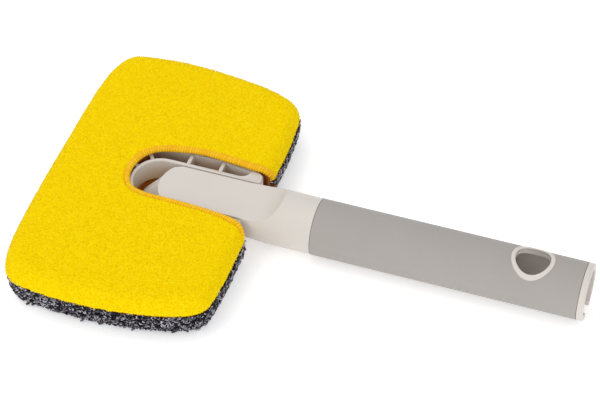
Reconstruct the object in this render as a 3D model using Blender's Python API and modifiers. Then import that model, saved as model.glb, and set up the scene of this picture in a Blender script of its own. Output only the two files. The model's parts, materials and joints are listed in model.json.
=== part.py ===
"""Bath scrubber: a flat U-shaped head in a two-faced cloth cover, swinging on a round grip handle.

Units are metres, +Z is up. X runs along the handle towards its open end, Y across the head.
The origin lies on the floor plane under the middle of the whole length. The pivot axis is
parallel to Y, at the height of the handle's own axis.
"""
import math

import bmesh
import bpy
from mathutils import Matrix, Vector

# Clearances and small overruns shared by all pieces.
SEAT_GAP = 0.0003
LOOSE_GAP = 0.0008
PIN_CLEARANCE = 0.0001
CUT_OVERRUN = 0.004
JOIN_OVERLAP = 0.001
HAIR = 0.00005
WELD = 0.000002

# Handle: round shaft, soft grip over it, open end.
SHAFT_RADIUS = 0.0165
PIVOT_TO_GRIP = 0.0920
GRIP_LENGTH = 0.1553
GRIP_WALL = 0.0013
END_RIM_LENGTH = 0.0035
END_RIM_ROUND = 0.0010
BORE_RADIUS = 0.0132
BORE_PAST_GRIP = 0.0050
DRAIN_NOTCH_WIDTH = 0.0090
DRAIN_NOTCH_DEPTH = 0.0050
HANG_HOLE_RADIUS = 0.0100
HANG_HOLE_FROM_END = 0.0333
COLLAR_WALL = 0.0020
SHAFT_SIDES = 48
HOLE_SIDES = 32

# Neck: the shaft flattened above, below and at its sides, with a sloping nose.
NECK_HALF_THICKNESS = 0.0072
NECK_HALF_WIDTH = 0.0143
FLAT_REACH = 0.0550
SCOOP_RADIUS = 0.0200
SIDE_FLAT_REACH = 0.0460
SIDE_SCOOP_RADIUS = 0.0400
NECK_FRONT_REACH = 0.0037
NECK_FRONT_RADIUS = 0.0200
NECK_CORNER_LENGTH = 0.0045
NOSE_RADIUS = 0.0090
NOSE_CENTRE_REACH = 0.0058
NOSE_RIM_HEIGHT = 0.0017
NOSE_UNDER_INSET = 0.0022
NOSE_BACK_REACH = 0.0020
NOSE_SHOULDER = 0.0062
BARREL_RADIUS = 0.0032

# Pivot pin and its two friction washers.
PIN_RADIUS = 0.0016
PIN_END_INSET = 0.0005
WASHER_RADIUS = 0.0032
WASHER_THICKNESS = 0.0005
BOSS_RADIUS = 0.0034
BOSS_LENGTH = 0.0022
PIN_SIDES = 24

# Head frame: rim band, coaming round the neck, second walls and ribs.
HEAD_HALF_WIDTH = 0.0999
HEAD_LENGTH = 0.1257
HEAD_FRONT_REACH = 0.0688
FRAME_INSET = 0.0045
FRAME_HALF_HEIGHT = 0.0075
FRAME_EDGE_ROUND = 0.0008
BAND_WALL = 0.0025
RIB_WALL = 0.0020
RIB_HALF_HEIGHT = 0.0066
COAMING_HALF_WIDTH = 0.0154
COAMING_WALL = 0.0023
COAMING_CENTRE_REACH = 0.0040
RECESS_WIDTH = 0.0085
RECESS_END_ROUND = 0.0050
HAIRPIN_LENGTH = 0.0088
HAIRPIN_WIDTH = 0.0083
HAIRPIN_ROUND = 0.0050
NOTCH_CORNER_ROUND = 0.0025
SLOT_WIDTH = 0.0046
SLOT_DEPTH = 0.0066
FRONT_RIB_ANGLES = (math.radians(24), math.radians(56))
OUTER_RIB_ANGLE = math.radians(80)

# Cloth cover: scouring side above, chenille side below, joined at the seam plane.
SEAM_ABOVE_AXIS = 0.0009
SCRUB_HEIGHT = 0.0096
SCRUB_ROUND_IN = 0.0079
SCRUB_CROWN = 0.0009
CHENILLE_ROUND_IN = 0.0045
CHENILLE_CROWN = 0.0010
CHENILLE_FLAT_CUT = 0.0005
CROWN_RUN = 0.0220
CROWN_CELL = 0.0160
BINDING_RADIUS = 0.0017
BINDING_LIFT = 0.0004
BINDING_STEP = 0.0024
OPENING_DEPTH = 0.0781
OPENING_HALF_WIDTH = 0.0248
CHENILLE_OPENING_HALF_WIDTH = 0.0158
CHENILLE_OPENING_FLARE = 0.0022
CHENILLE_OPENING_FRONT = 0.0110
PATH_STEPS = 3

# Head outline: share of the head's length from its front, share of its half width.
HEAD_OUTLINE_SHARES = (
    (0.000, 0.000),
    (0.000, 0.320),
    (0.004, 0.571),
    (0.018, 0.760),
    (0.047, 0.886),
    (0.088, 0.945),
    (0.146, 0.976),
    (0.367, 1.000),
    (0.581, 0.986),
    (0.777, 0.946),
    (0.880, 0.906),
    (0.940, 0.868),
    (0.979, 0.810),
    (0.992, 0.730),
    (1.000, 0.550),
    (1.000, 0.420),
)

# Inner edge of the scouring side's opening, from the apex to the rear lobes' corners, on
# either side. Share of the opening's depth from the head's rear edge, share of its half width.
FAR_OPENING_SHARES = (
    (1.000, 0.020),
    (0.989, 0.310),
    (0.950, 0.580),
    (0.872, 0.786),
    (0.729, 0.919),
    (0.556, 1.000),
    (0.312, 0.956),
    (0.150, 0.905),
    (0.040, 0.920),
    (0.003, 1.000),
)
NEAR_OPENING_SHARES = (
    (0.990, 0.200),
    (0.957, 0.405),
    (0.904, 0.535),
    (0.810, 0.600),
    (0.707, 0.605),
    (0.490, 0.620),
    (0.282, 0.668),
    (0.150, 0.725),
    (0.045, 0.830),
    (0.004, 0.965),
)

# Side ribs and the bend of the second wall: share of the way from the coaming's centre to
# the hairpin end.
SIDE_RIB_SHARES = (0.228, 0.640)
WALL_BEND_SHARE = 0.633

# How far an opening is cleared out past its binding's centre line, as a share of the radius.
CLEARED_SHARE = 0.36

# Places worked out from the sizes above.
HANDLE_REACH = PIVOT_TO_GRIP + GRIP_LENGTH + END_RIM_LENGTH
PIVOT_X = (HEAD_FRONT_REACH - HANDLE_REACH) / 2
AXIS_Z = SHAFT_RADIUS
GRIP_X = PIVOT_X + PIVOT_TO_GRIP
RIM_X = GRIP_X + GRIP_LENGTH
END_X = PIVOT_X + HANDLE_REACH
HOLE_X = END_X - HANG_HOLE_FROM_END
HEAD_FRONT_X = PIVOT_X - HEAD_FRONT_REACH
HEAD_REAR_X = HEAD_FRONT_X + HEAD_LENGTH
COAMING_X = PIVOT_X - COAMING_CENTRE_REACH
COAMING_OUTER = COAMING_HALF_WIDTH + COAMING_WALL
SECOND_WALL_Y = COAMING_OUTER + RECESS_WIDTH
FRAME_REAR_X = HEAD_REAR_X - FRAME_INSET
HAIRPIN_X = FRAME_REAR_X - HAIRPIN_LENGTH
HAIRPIN_Y = COAMING_HALF_WIDTH + HAIRPIN_WIDTH
SLOT_FAR_Y = HAIRPIN_Y + SLOT_WIDTH
SEAM_Z = AXIS_Z + SEAM_ABOVE_AXIS
CHENILLE_EDGE_Z = CHENILLE_CROWN - CHENILLE_FLAT_CUT
BINDING_OFFSET_Z = FRAME_HALF_HEIGHT + BINDING_LIFT + BINDING_RADIUS


def clear_scene():
    """Remove every object, mesh, curve and collection that the file opened with."""
    for item in list(bpy.data.objects):
        bpy.data.objects.remove(item, do_unlink=True)
    for group in list(bpy.data.collections):
        bpy.data.collections.remove(group)


def new_collection(name):
    """Make a collection in the scene."""
    group = bpy.data.collections.new(name)
    bpy.context.scene.collection.children.link(group)
    return group


def new_material(name, colour, roughness, metallic=0.0):
    """Make a plain Principled material."""
    material = bpy.data.materials.new(name)
    material.use_nodes = True
    shader = material.node_tree.nodes["Principled BSDF"]
    shader.inputs["Base Color"].default_value = (*colour, 1.0)
    shader.inputs["Roughness"].default_value = roughness
    shader.inputs["Metallic"].default_value = metallic
    return material


def place(item, group, material=None):
    """Link an object to its collection and give it its material."""
    group.objects.link(item)
    if material is not None:
        item.data.materials.clear()
        item.data.materials.append(material)
    return item


def as_cutter(item):
    """Mark an object as a cutting tool that is not part of the model."""
    item.hide_render = True
    item.display_type = "WIRE"
    return item


def mesh_object(name, bm):
    """Turn a bmesh into a new object with its faces pointing out."""
    bmesh.ops.recalc_face_normals(bm, faces=bm.faces)
    mesh = bpy.data.meshes.new(name)
    bm.to_mesh(mesh)
    bm.free()
    return bpy.data.objects.new(name, mesh)


def shade_round(item):
    """Shade an object smooth and keep its sharp edges."""
    item.data.shade_smooth()
    item.data.set_sharp_from_angle(angle=math.radians(35))


def boolean(target, tool, operation):
    """Cut a target with a tool, join them, or keep their common part."""
    step = target.modifiers.new(operation.title() + " " + tool.name, "BOOLEAN")
    step.operation = operation
    step.solver = "EXACT"
    step.object = tool
    return step


def cylinder(name, radius, start, end, sides, turn=0.0):
    """Make a capped cylinder between two points, turned about its own axis."""
    bm = bmesh.new()
    axis = Vector(end) - Vector(start)
    frame = axis.to_track_quat("Z", "Y").to_matrix().to_4x4()
    middle = Matrix.Translation((Vector(start) + Vector(end)) / 2)
    spin = Matrix.Rotation(turn, 4, "Z")
    bmesh.ops.create_cone(bm, cap_ends=True, segments=sides, radius1=radius, radius2=radius,
                          depth=axis.length, matrix=middle @ frame @ spin)
    return mesh_object(name, bm)


def box(name, low, high):
    """Make a box between two corners."""
    bm = bmesh.new()
    size = Vector(high) - Vector(low)
    middle = Matrix.Translation((Vector(low) + Vector(high)) / 2)
    bmesh.ops.create_cube(bm, size=1.0, matrix=middle @ Matrix.Diagonal((*size, 1.0)))
    return mesh_object(name, bm)


def turned(name, profile, sides):
    """Turn a profile of (place along X, radius) about the handle's axis with a Screw."""
    bm = bmesh.new()
    points = [bm.verts.new((radius, 0, along)) for along, radius in profile]
    for first, second in zip(points, points[1:]):
        bm.edges.new((first, second))
    if profile[0] == profile[-1]:
        bmesh.ops.remove_doubles(bm, verts=bm.verts, dist=WELD)
    mesh = bpy.data.meshes.new(name)
    bm.to_mesh(mesh)
    bm.free()
    item = bpy.data.objects.new(name, mesh)
    spin = item.modifiers.new("Turned profile", "SCREW")
    spin.axis = "Z"
    spin.steps = sides
    spin.render_steps = sides
    spin.use_merge_vertices = True
    spin.merge_threshold = WELD
    item.rotation_euler = (0.0, math.pi / 2, 0.0)
    item.location = (0.0, 0.0, AXIS_Z)
    return item


def flat_solid(name, loops, half_height, centre_z, edge_round=0.0, round_steps=0, lying=False):
    """Extrude a filled outline, holes included, into a closed mesh.

    The outline lies in XY at a height, or in XZ when lying is set, where it is given as
    (x, z) and extruded along Y.
    """
    curve = bpy.data.curves.new(name, "CURVE")
    curve.dimensions = "2D"
    curve.fill_mode = "BOTH"
    curve.extrude = half_height - edge_round
    curve.bevel_depth = edge_round
    curve.bevel_resolution = round_steps
    curve.offset = -edge_round
    for loop in loops:
        spline = curve.splines.new("POLY")
        spline.points.add(len(loop) - 1)
        for point, (across, along) in zip(spline.points, loop):
            point.co = (across, along, 0.0, 1.0)
        spline.use_cyclic_u = True
    guide = bpy.data.objects.new(name + " outline", curve)
    bpy.context.scene.collection.objects.link(guide)
    bpy.context.view_layer.update()
    graph = bpy.context.evaluated_depsgraph_get()
    mesh = bpy.data.meshes.new_from_object(guide.evaluated_get(graph))
    bpy.data.objects.remove(guide, do_unlink=True)
    bm = bmesh.new()
    bm.from_mesh(mesh)
    bpy.data.meshes.remove(mesh)
    bmesh.ops.remove_doubles(bm, verts=bm.verts, dist=WELD)
    if lying:
        bmesh.ops.rotate(bm, verts=bm.verts, cent=(0, 0, 0),
                         matrix=Matrix.Rotation(math.pi / 2, 3, "X"))
    else:
        bmesh.ops.translate(bm, verts=bm.verts, vec=(0, 0, centre_z))
    return mesh_object(name, bm)


def tube(name, path, radius):
    """Make a round cord solid along a path with a bevelled curve and filled ends."""
    curve = bpy.data.curves.new(name, "CURVE")
    curve.dimensions = "3D"
    curve.bevel_depth = radius
    curve.bevel_resolution = 2
    curve.use_fill_caps = True
    spline = curve.splines.new("POLY")
    spline.points.add(len(path) - 1)
    for point, place_at in zip(spline.points, path):
        point.co = (*place_at, 1.0)
    return bpy.data.objects.new(name, curve)


def tube_mesh(name, path, radius):
    """Make the same cord solid as a mesh with its caps welded on."""
    guide = tube(name + " guide", path, radius)
    bpy.context.scene.collection.objects.link(guide)
    bpy.context.view_layer.update()
    graph = bpy.context.evaluated_depsgraph_get()
    mesh = bpy.data.meshes.new_from_object(guide.evaluated_get(graph))
    bpy.data.objects.remove(guide, do_unlink=True)
    bm = bmesh.new()
    bm.from_mesh(mesh)
    bpy.data.meshes.remove(mesh)
    bmesh.ops.remove_doubles(bm, verts=bm.verts, dist=WELD)
    return mesh_object(name, bm)


def arc(centre, radius, start, end, steps):
    """Points along an arc from one angle to another."""
    points = []
    for index in range(steps + 1):
        angle = start + (end - start) * index / steps
        points.append((centre[0] + radius * math.cos(angle), centre[1] + radius * math.sin(angle)))
    return points


def smooth(points, steps):
    """Run a smooth curve through points, with a few steps between neighbours."""
    result = []
    last = len(points) - 1
    for index in range(last):
        before = Vector(points[max(index - 1, 0)])
        start = Vector(points[index])
        end = Vector(points[index + 1])
        after = Vector(points[min(index + 2, last)])
        for step in range(steps):
            t = step / steps
            curve = (
                2 * start
                + (end - before) * t
                + (2 * before - 5 * start + 4 * end - after) * t ** 2
                + (3 * start - before - 3 * end + after) * t ** 3
            ) / 2
            result.append(tuple(curve))
    result.append(tuple(points[-1]))
    return result


def offset_path(points, distance):
    """Shift an open 2D path to its left by a distance, point by point."""
    last = len(points) - 1
    shifted = []
    for index, point in enumerate(points):
        before = points[max(index - 1, 0)]
        after = points[min(index + 1, last)]
        run = Vector((after[0] - before[0], after[1] - before[1])).normalized()
        shifted.append((point[0] - run.y * distance, point[1] + run.x * distance))
    return shifted


def spaced(points, step):
    """Resample a path at an even step."""
    result = [Vector(points[0])]
    for point in points[1:]:
        target = Vector(point)
        while (target - result[-1]).length >= step:
            result.append(result[-1] + (target - result[-1]).normalized() * step)
    if (Vector(points[-1]) - result[-1]).length > step / 2:
        result.append(Vector(points[-1]))
    return [tuple(point) for point in result]


def perimeter():
    """Outer outline of the head, from the rear lobe at +Y round the front to the one at -Y."""
    half = [
        (HEAD_FRONT_X + along * HEAD_LENGTH, across * HEAD_HALF_WIDTH)
        for along, across in HEAD_OUTLINE_SHARES
    ]
    left = list(reversed(half))
    right = [(x, -y) for x, y in half[1:]]
    return smooth(left + right, PATH_STEPS)


def inset_ring(inset):
    """The head's outline drawn in by the same amount at its front, rear and sides."""
    middle_x = (HEAD_FRONT_X + HEAD_REAR_X) / 2
    along = 1 - 2 * inset / HEAD_LENGTH
    across = 1 - inset / HEAD_HALF_WIDTH
    return [(middle_x + (x - middle_x) * along, y * across) for x, y in perimeter()]


def opening_side(shares, side):
    """Plan points of an opening's inner edge on one side, from its apex to the rear."""
    return [
        (HEAD_REAR_X - along * OPENING_DEPTH, side * across * OPENING_HALF_WIDTH)
        for along, across in shares
    ]


def scrub_opening():
    """Inner edge of the scouring side's opening, from the +Y rear to the -Y rear."""
    return list(reversed(opening_side(FAR_OPENING_SHARES, 1))) + opening_side(NEAR_OPENING_SHARES, -1)


def chenille_opening():
    """Inner edge of the chenille side's opening, round the coaming's own centre."""
    half = CHENILLE_OPENING_HALF_WIDTH
    far = list(reversed(opening_side(FAR_OPENING_SHARES[-2:], 1)))
    near = opening_side(NEAR_OPENING_SHARES[-2:], -1)
    rear = far[-1][0] - HAIRPIN_LENGTH
    middle = (COAMING_X + rear) / 2
    squeeze = CHENILLE_OPENING_FRONT / half
    front = [(COAMING_X + x * squeeze, y) for x, y in arc((0, 0), half, math.pi / 2, 3 * math.pi / 2, 6)]
    left = [(rear, half + CHENILLE_OPENING_FLARE), (middle, half)]
    right = [(x, -y) for x, y in reversed(left)]
    return far + left + front + right + near


def binding_rise(x, side_up, round_in):
    """Height of a binding over the seam, which falls away with the lobes' rounded rear rim."""
    full = BINDING_OFFSET_Z - side_up * SEAM_ABOVE_AXIS
    from_rim = min(max(HEAD_REAR_X - x, 0.0), round_in)
    share = (round_in - from_rim) / (round_in - BINDING_RADIUS / 2)
    return max(full * math.sqrt(max(1 - share * share, 0.0)), BINDING_RADIUS + SEAT_GAP)


def binding_path(opening, side_up, round_in):
    """Centre line of a binding, up on the frame and down to the seam at both ends."""
    plan = smooth(offset_path(opening, -BINDING_RADIUS), PATH_STEPS * 2)
    points = [(x, y, SEAM_Z + side_up * binding_rise(x, side_up, round_in)) for x, y in plan]
    return spaced(points, BINDING_STEP)


def opening_prism(name, path):
    """Cutter that clears an opening, just inside its binding's centre line."""
    inner = offset_path([(x, y) for x, y, _ in path], BINDING_RADIUS * CLEARED_SHARE)
    rear = HEAD_REAR_X + SHAFT_RADIUS
    loop = [(rear, inner[0][1])] + inner + [(rear, inner[-1][1])]
    return flat_solid(name, [loop], SHAFT_RADIUS * 2, AXIS_Z)


def distance_to(point, outline):
    """Least distance from a point to a closed outline."""
    best = None
    for start, end in zip(outline, outline[1:] + outline[:1]):
        first = Vector(start)
        run = Vector(end) - first
        share = 0.0
        if run.length_squared > 0:
            share = min(max((point - first).dot(run) / run.length_squared, 0.0), 1.0)
        gap = (point - first - run * share).length
        best = gap if best is None else min(best, gap)
    return best


def cap_parts(bm, cap_z):
    """Faces, edges and corners of a flat cap, each once and in the mesh's own order."""
    bm.verts.index_update()
    bm.edges.index_update()
    faces = [face for face in bm.faces if all(abs(v.co.z - cap_z) < HAIR for v in face.verts)]
    edges = {edge.index: edge for face in faces for edge in face.edges}
    verts = {vert.index: vert for face in faces for vert in face.verts}
    return faces, [edges[key] for key in sorted(edges)], [verts[key] for key in sorted(verts)]


def crown_cap(item, outline, cap_z, rise, inset):
    """Divide a cover's flat cap into cells and raise it into a gentle crown, flat on the floor."""
    bm = bmesh.new()
    bm.from_mesh(item.data)
    faces, edges, _ = cap_parts(bm, cap_z)
    kept = set(faces)
    inner = [edge for edge in edges if all(face in kept for face in edge.link_faces)]
    bmesh.ops.dissolve_edges(bm, edges=inner, use_verts=False)
    for axis, low, high in ((0, HEAD_FRONT_X, HEAD_REAR_X), (1, -HEAD_HALF_WIDTH, HEAD_HALF_WIDTH)):
        count = max(int(round((high - low) / CROWN_CELL)), 2)
        for index in range(1, count):
            faces, edges, verts = cap_parts(bm, cap_z)
            plane = Vector((0, 0, 0))
            plane[axis] = low + (high - low) * index / count
            normal = Vector((0, 0, 0))
            normal[axis] = 1.0
            bmesh.ops.bisect_plane(bm, geom=faces + edges + verts, dist=HAIR / 2, plane_co=plane,
                                   plane_no=normal)
    faces, _, verts = cap_parts(bm, cap_z)
    bmesh.ops.triangulate(bm, faces=faces)
    for vert in verts:
        gap = distance_to(vert.co.xy, outline) - inset
        share = min(max(gap / CROWN_RUN, 0.0), 1.0)
        vert.co.z = max(vert.co.z + rise * share * share * (3 - 2 * share), 0.0)
    bm.to_mesh(item.data)
    bm.free()


def cover_half(name, opening, side_up, height, round_in, crown, group, cutters, material):
    """Make one side of the cover: rounded rim, gentle crown, frame cavity and opening."""
    outline = perimeter()
    item = flat_solid(name, [outline], round_in, 0.0, round_in, 3)
    stretch = height / round_in
    for vert in item.data.vertices:
        vert.co.z = SEAM_Z + vert.co.z * stretch
    cap_z = SEAM_Z + side_up * height
    crown_cap(item, outline, cap_z, side_up * crown, round_in)
    reach = HEAD_LENGTH + HEAD_HALF_WIDTH
    face = SEAM_Z + side_up * SEAT_GAP / 2
    beyond = face - side_up * SHAFT_RADIUS * 2
    other = box(name + " other side", (-reach, -reach, min(face, beyond)), (reach, reach, max(face, beyond)))
    boolean(item, place(as_cutter(other), cutters), "DIFFERENCE")
    cavity = flat_solid(name + " frame space", [inset_ring(FRAME_INSET - SEAT_GAP)],
                        FRAME_HALF_HEIGHT + LOOSE_GAP, AXIS_Z)
    boolean(item, place(as_cutter(cavity), cutters), "DIFFERENCE")
    path = binding_path(opening, side_up, round_in)
    groove = tube_mesh(name + " binding seat", extended(path, SEAT_GAP * 2), BINDING_RADIUS + SEAT_GAP)
    boolean(item, place(as_cutter(groove), cutters), "DIFFERENCE")
    prism = opening_prism(name + " opening", path)
    boolean(item, place(as_cutter(prism), cutters), "DIFFERENCE")
    place(item, group, material)
    return item


def extended(path, length):
    """Run a path on past both its ends."""
    first = Vector(path[0]) + (Vector(path[0]) - Vector(path[1])).normalized() * length
    last = Vector(path[-1]) + (Vector(path[-1]) - Vector(path[-2])).normalized() * length
    return [tuple(first)] + list(path) + [tuple(last)]


def build_scrub_cover(group, cutters, material):
    """Upper, scouring side of the cover."""
    height = SCRUB_HEIGHT
    return cover_half("scrub_cover", scrub_opening(), 1, height, SCRUB_ROUND_IN, SCRUB_CROWN,
                      group, cutters, material)


def build_chenille_cover(group, cutters, material):
    """Lower, chenille side of the cover, flat where it stands."""
    height = SEAM_Z - CHENILLE_EDGE_Z
    return cover_half("chenille_cover", chenille_opening(), -1, height, CHENILLE_ROUND_IN,
                      CHENILLE_CROWN, group, cutters, material)


def build_binding(name, opening, side_up, round_in, group, material):
    """Overlocked binding along an opening's edge."""
    path = binding_path(opening, side_up, round_in)
    return place(tube(name, path, BINDING_RADIUS), group, material)


def coaming_arc(radius, steps):
    """Front arc of the coaming at a radius, from +Y round the front to -Y."""
    return arc((COAMING_X, 0.0), radius, math.pi / 2, 3 * math.pi / 2, steps)


def frame_edge(inset):
    """Inset outline of the frame's rim, from the +Y rear round the front to the -Y rear."""
    rear_x = HEAD_REAR_X - inset
    return [(min(x, rear_x), y) for x, y in inset_ring(inset)], rear_x


def frame_outline():
    """Closed outline of the frame: rim, slots beside the notch, hairpin ends and notch."""
    outer, rear_x = frame_edge(FRAME_INSET)
    small = NOTCH_CORNER_ROUND
    big = HAIRPIN_ROUND
    half_slot = SLOT_WIDTH / 2
    quarter = math.pi / 2
    slot_x = rear_x - SLOT_DEPTH + half_slot
    left = arc((rear_x - small, SLOT_FAR_Y + small), small, 0, -quarter, 3)
    left += arc((slot_x, HAIRPIN_Y + half_slot), half_slot, quarter, 3 * quarter, 6)
    left += arc((rear_x - big, HAIRPIN_Y - big), big, quarter, 0, 5)
    left += arc((rear_x - small, COAMING_HALF_WIDTH + small), small, 0, -quarter, 3)
    right = [(x, -y) for x, y in reversed(left)]
    notch = left + coaming_arc(COAMING_HALF_WIDTH, 20) + right
    return outer + list(reversed(notch))


def frame_window():
    """Closed outline of the frame's inside, between rim band, slot walls and coaming."""
    outer, rear_x = frame_edge(FRAME_INSET + BAND_WALL)
    wall_y = SLOT_FAR_Y + BAND_WALL
    turn = RECESS_END_ROUND
    left = [(rear_x, wall_y), (HAIRPIN_X, wall_y)]
    left += arc((HAIRPIN_X - turn, COAMING_OUTER + turn), turn, 0, -math.pi / 2, 5)
    right = [(x, -y) for x, y in reversed(left)]
    inner = left + coaming_arc(COAMING_OUTER, 20) + right
    return outer + list(reversed(inner))


def bar(name, start, end, wall):
    """Flat upright rib between two plan points."""
    first = Vector(start)
    run = Vector(end) - first
    side = Vector((-run.y, run.x)).normalized() * wall / 2
    corners = [first + side, first - side, first + run - side, first + run + side]
    return flat_solid(name, [[tuple(corner) for corner in corners]], RIB_HALF_HEIGHT, AXIS_Z)


def build_frame(group, cutters, material):
    """Ribbed head frame with its coaming, second walls, ribs and pin bosses."""
    frame = flat_solid("head_frame", [frame_outline(), frame_window()],
                       FRAME_HALF_HEIGHT, AXIS_Z, FRAME_EDGE_ROUND, 1)
    limit = flat_solid("rib limit", [inset_ring(FRAME_INSET + BAND_WALL / 2)], FRAME_HALF_HEIGHT, AXIS_Z)
    place(as_cutter(limit), cutters)
    bars = []
    reach = HEAD_LENGTH + HEAD_HALF_WIDTH
    start_radius = COAMING_OUTER - JOIN_OVERLAP
    wall_y = SECOND_WALL_Y + RIB_WALL / 2
    run = HAIRPIN_X - COAMING_X
    bend_x = COAMING_X + run * WALL_BEND_SHARE
    end_x = HAIRPIN_X + RIB_WALL
    end_y = HAIRPIN_Y - RIB_WALL / 2
    for side in (1, -1):
        for number, angle in enumerate(FRONT_RIB_ANGLES):
            way = Vector((-math.cos(angle), side * math.sin(angle)))
            first = Vector((COAMING_X, 0.0)) + way * start_radius
            last = Vector((COAMING_X, 0.0)) + way * reach
            bars.append(bar(f"front rib {number} {side}", first, last, RIB_WALL))
        way = Vector((-math.cos(OUTER_RIB_ANGLE), side * math.sin(OUTER_RIB_ANGLE)))
        first = Vector((COAMING_X, 0.0)) + way * wall_y / math.sin(OUTER_RIB_ANGLE)
        last = Vector((COAMING_X, 0.0)) + way * reach
        bars.append(bar(f"outer rib {side}", first, last, RIB_WALL))
        wall_x = COAMING_X - wall_y / math.tan(FRONT_RIB_ANGLES[-1])
        bars.append(bar(f"second wall {side}", (wall_x, side * wall_y), (bend_x, side * wall_y), RIB_WALL))
        bars.append(bar(f"second wall end {side}", (bend_x - RIB_WALL / 2, side * wall_y),
                        (end_x, side * end_y), RIB_WALL))
        for number, share in enumerate(SIDE_RIB_SHARES):
            x = COAMING_X + run * share
            inner = COAMING_OUTER - JOIN_OVERLAP
            bars.append(bar(f"side rib {number} {side}", (x, side * inner), (x, side * reach), RIB_WALL))
    for item in bars:
        place(as_cutter(item), cutters)
        boolean(item, limit, "INTERSECT")
        boolean(frame, item, "UNION")
    for side in (1, -1):
        y_in = side * (COAMING_OUTER - JOIN_OVERLAP)
        y_out = side * (COAMING_OUTER + BOSS_LENGTH)
        boss = cylinder(f"pin boss {side}", BOSS_RADIUS, (PIVOT_X, y_in, AXIS_Z),
                        (PIVOT_X, y_out, AXIS_Z), PIN_SIDES)
        boolean(frame, place(as_cutter(boss), cutters), "UNION")
    bore = cylinder("frame pin bore", PIN_RADIUS + PIN_CLEARANCE,
                    (PIVOT_X, -HEAD_HALF_WIDTH - CUT_OVERRUN, AXIS_Z),
                    (PIVOT_X, COAMING_OUTER + BOSS_LENGTH + CUT_OVERRUN, AXIS_Z), PIN_SIDES)
    boolean(frame, place(as_cutter(bore), cutters), "DIFFERENCE")
    place(frame, group, material)
    return frame


def flat_cutter(name, sign):
    """Cutter for one broad flat of the neck, with its scooped run-out."""
    start_x = PIVOT_X - NOSE_CENTRE_REACH - NOSE_RADIUS - CUT_OVERRUN
    flat_x = PIVOT_X + FLAT_REACH
    top = SHAFT_RADIUS + CUT_OVERRUN
    rise = top - NECK_HALF_THICKNESS
    sweep = math.acos(max(1 - rise / SCOOP_RADIUS, -1.0))
    scoop = arc((flat_x, NECK_HALF_THICKNESS + SCOOP_RADIUS), SCOOP_RADIUS,
                -math.pi / 2, -math.pi / 2 + sweep, 10)
    loop = [(start_x, top), (start_x, NECK_HALF_THICKNESS)] + scoop
    loop = [(x, AXIS_Z + sign * z) for x, z in loop]
    return flat_solid(name, [loop], SHAFT_RADIUS + CUT_OVERRUN, 0.0, lying=True)


def side_cutter(name, sign):
    """Cutter for one narrow side flat of the neck."""
    start_x = PIVOT_X - NOSE_CENTRE_REACH - NOSE_RADIUS - CUT_OVERRUN
    flat_x = PIVOT_X + SIDE_FLAT_REACH
    top = SHAFT_RADIUS + CUT_OVERRUN
    rise = top - NECK_HALF_WIDTH
    sweep = math.acos(max(1 - rise / SIDE_SCOOP_RADIUS, -1.0))
    scoop = arc((flat_x, NECK_HALF_WIDTH + SIDE_SCOOP_RADIUS), SIDE_SCOOP_RADIUS,
                -math.pi / 2, -math.pi / 2 + sweep, 8)
    loop = [(start_x, top), (start_x, NECK_HALF_WIDTH)] + scoop
    loop = [(x, sign * y) for x, y in loop]
    return flat_solid(name, [loop], SHAFT_RADIUS + CUT_OVERRUN, AXIS_Z)


def neck_front():
    """Front edge of the neck's flats, from -Y to +Y, gently arched with rounded corners."""
    centre = (PIVOT_X - NECK_FRONT_REACH + NECK_FRONT_RADIUS, 0.0)
    half = NECK_HALF_WIDTH - NECK_CORNER_LENGTH / 2
    sweep = math.asin(half / NECK_FRONT_RADIUS)
    edge = arc(centre, NECK_FRONT_RADIUS, math.pi + sweep, math.pi - sweep, 8)
    corner_x = edge[-1][0] + NECK_CORNER_LENGTH
    return [(corner_x, -NECK_HALF_WIDTH)] + edge + [(corner_x, NECK_HALF_WIDTH)]


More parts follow.
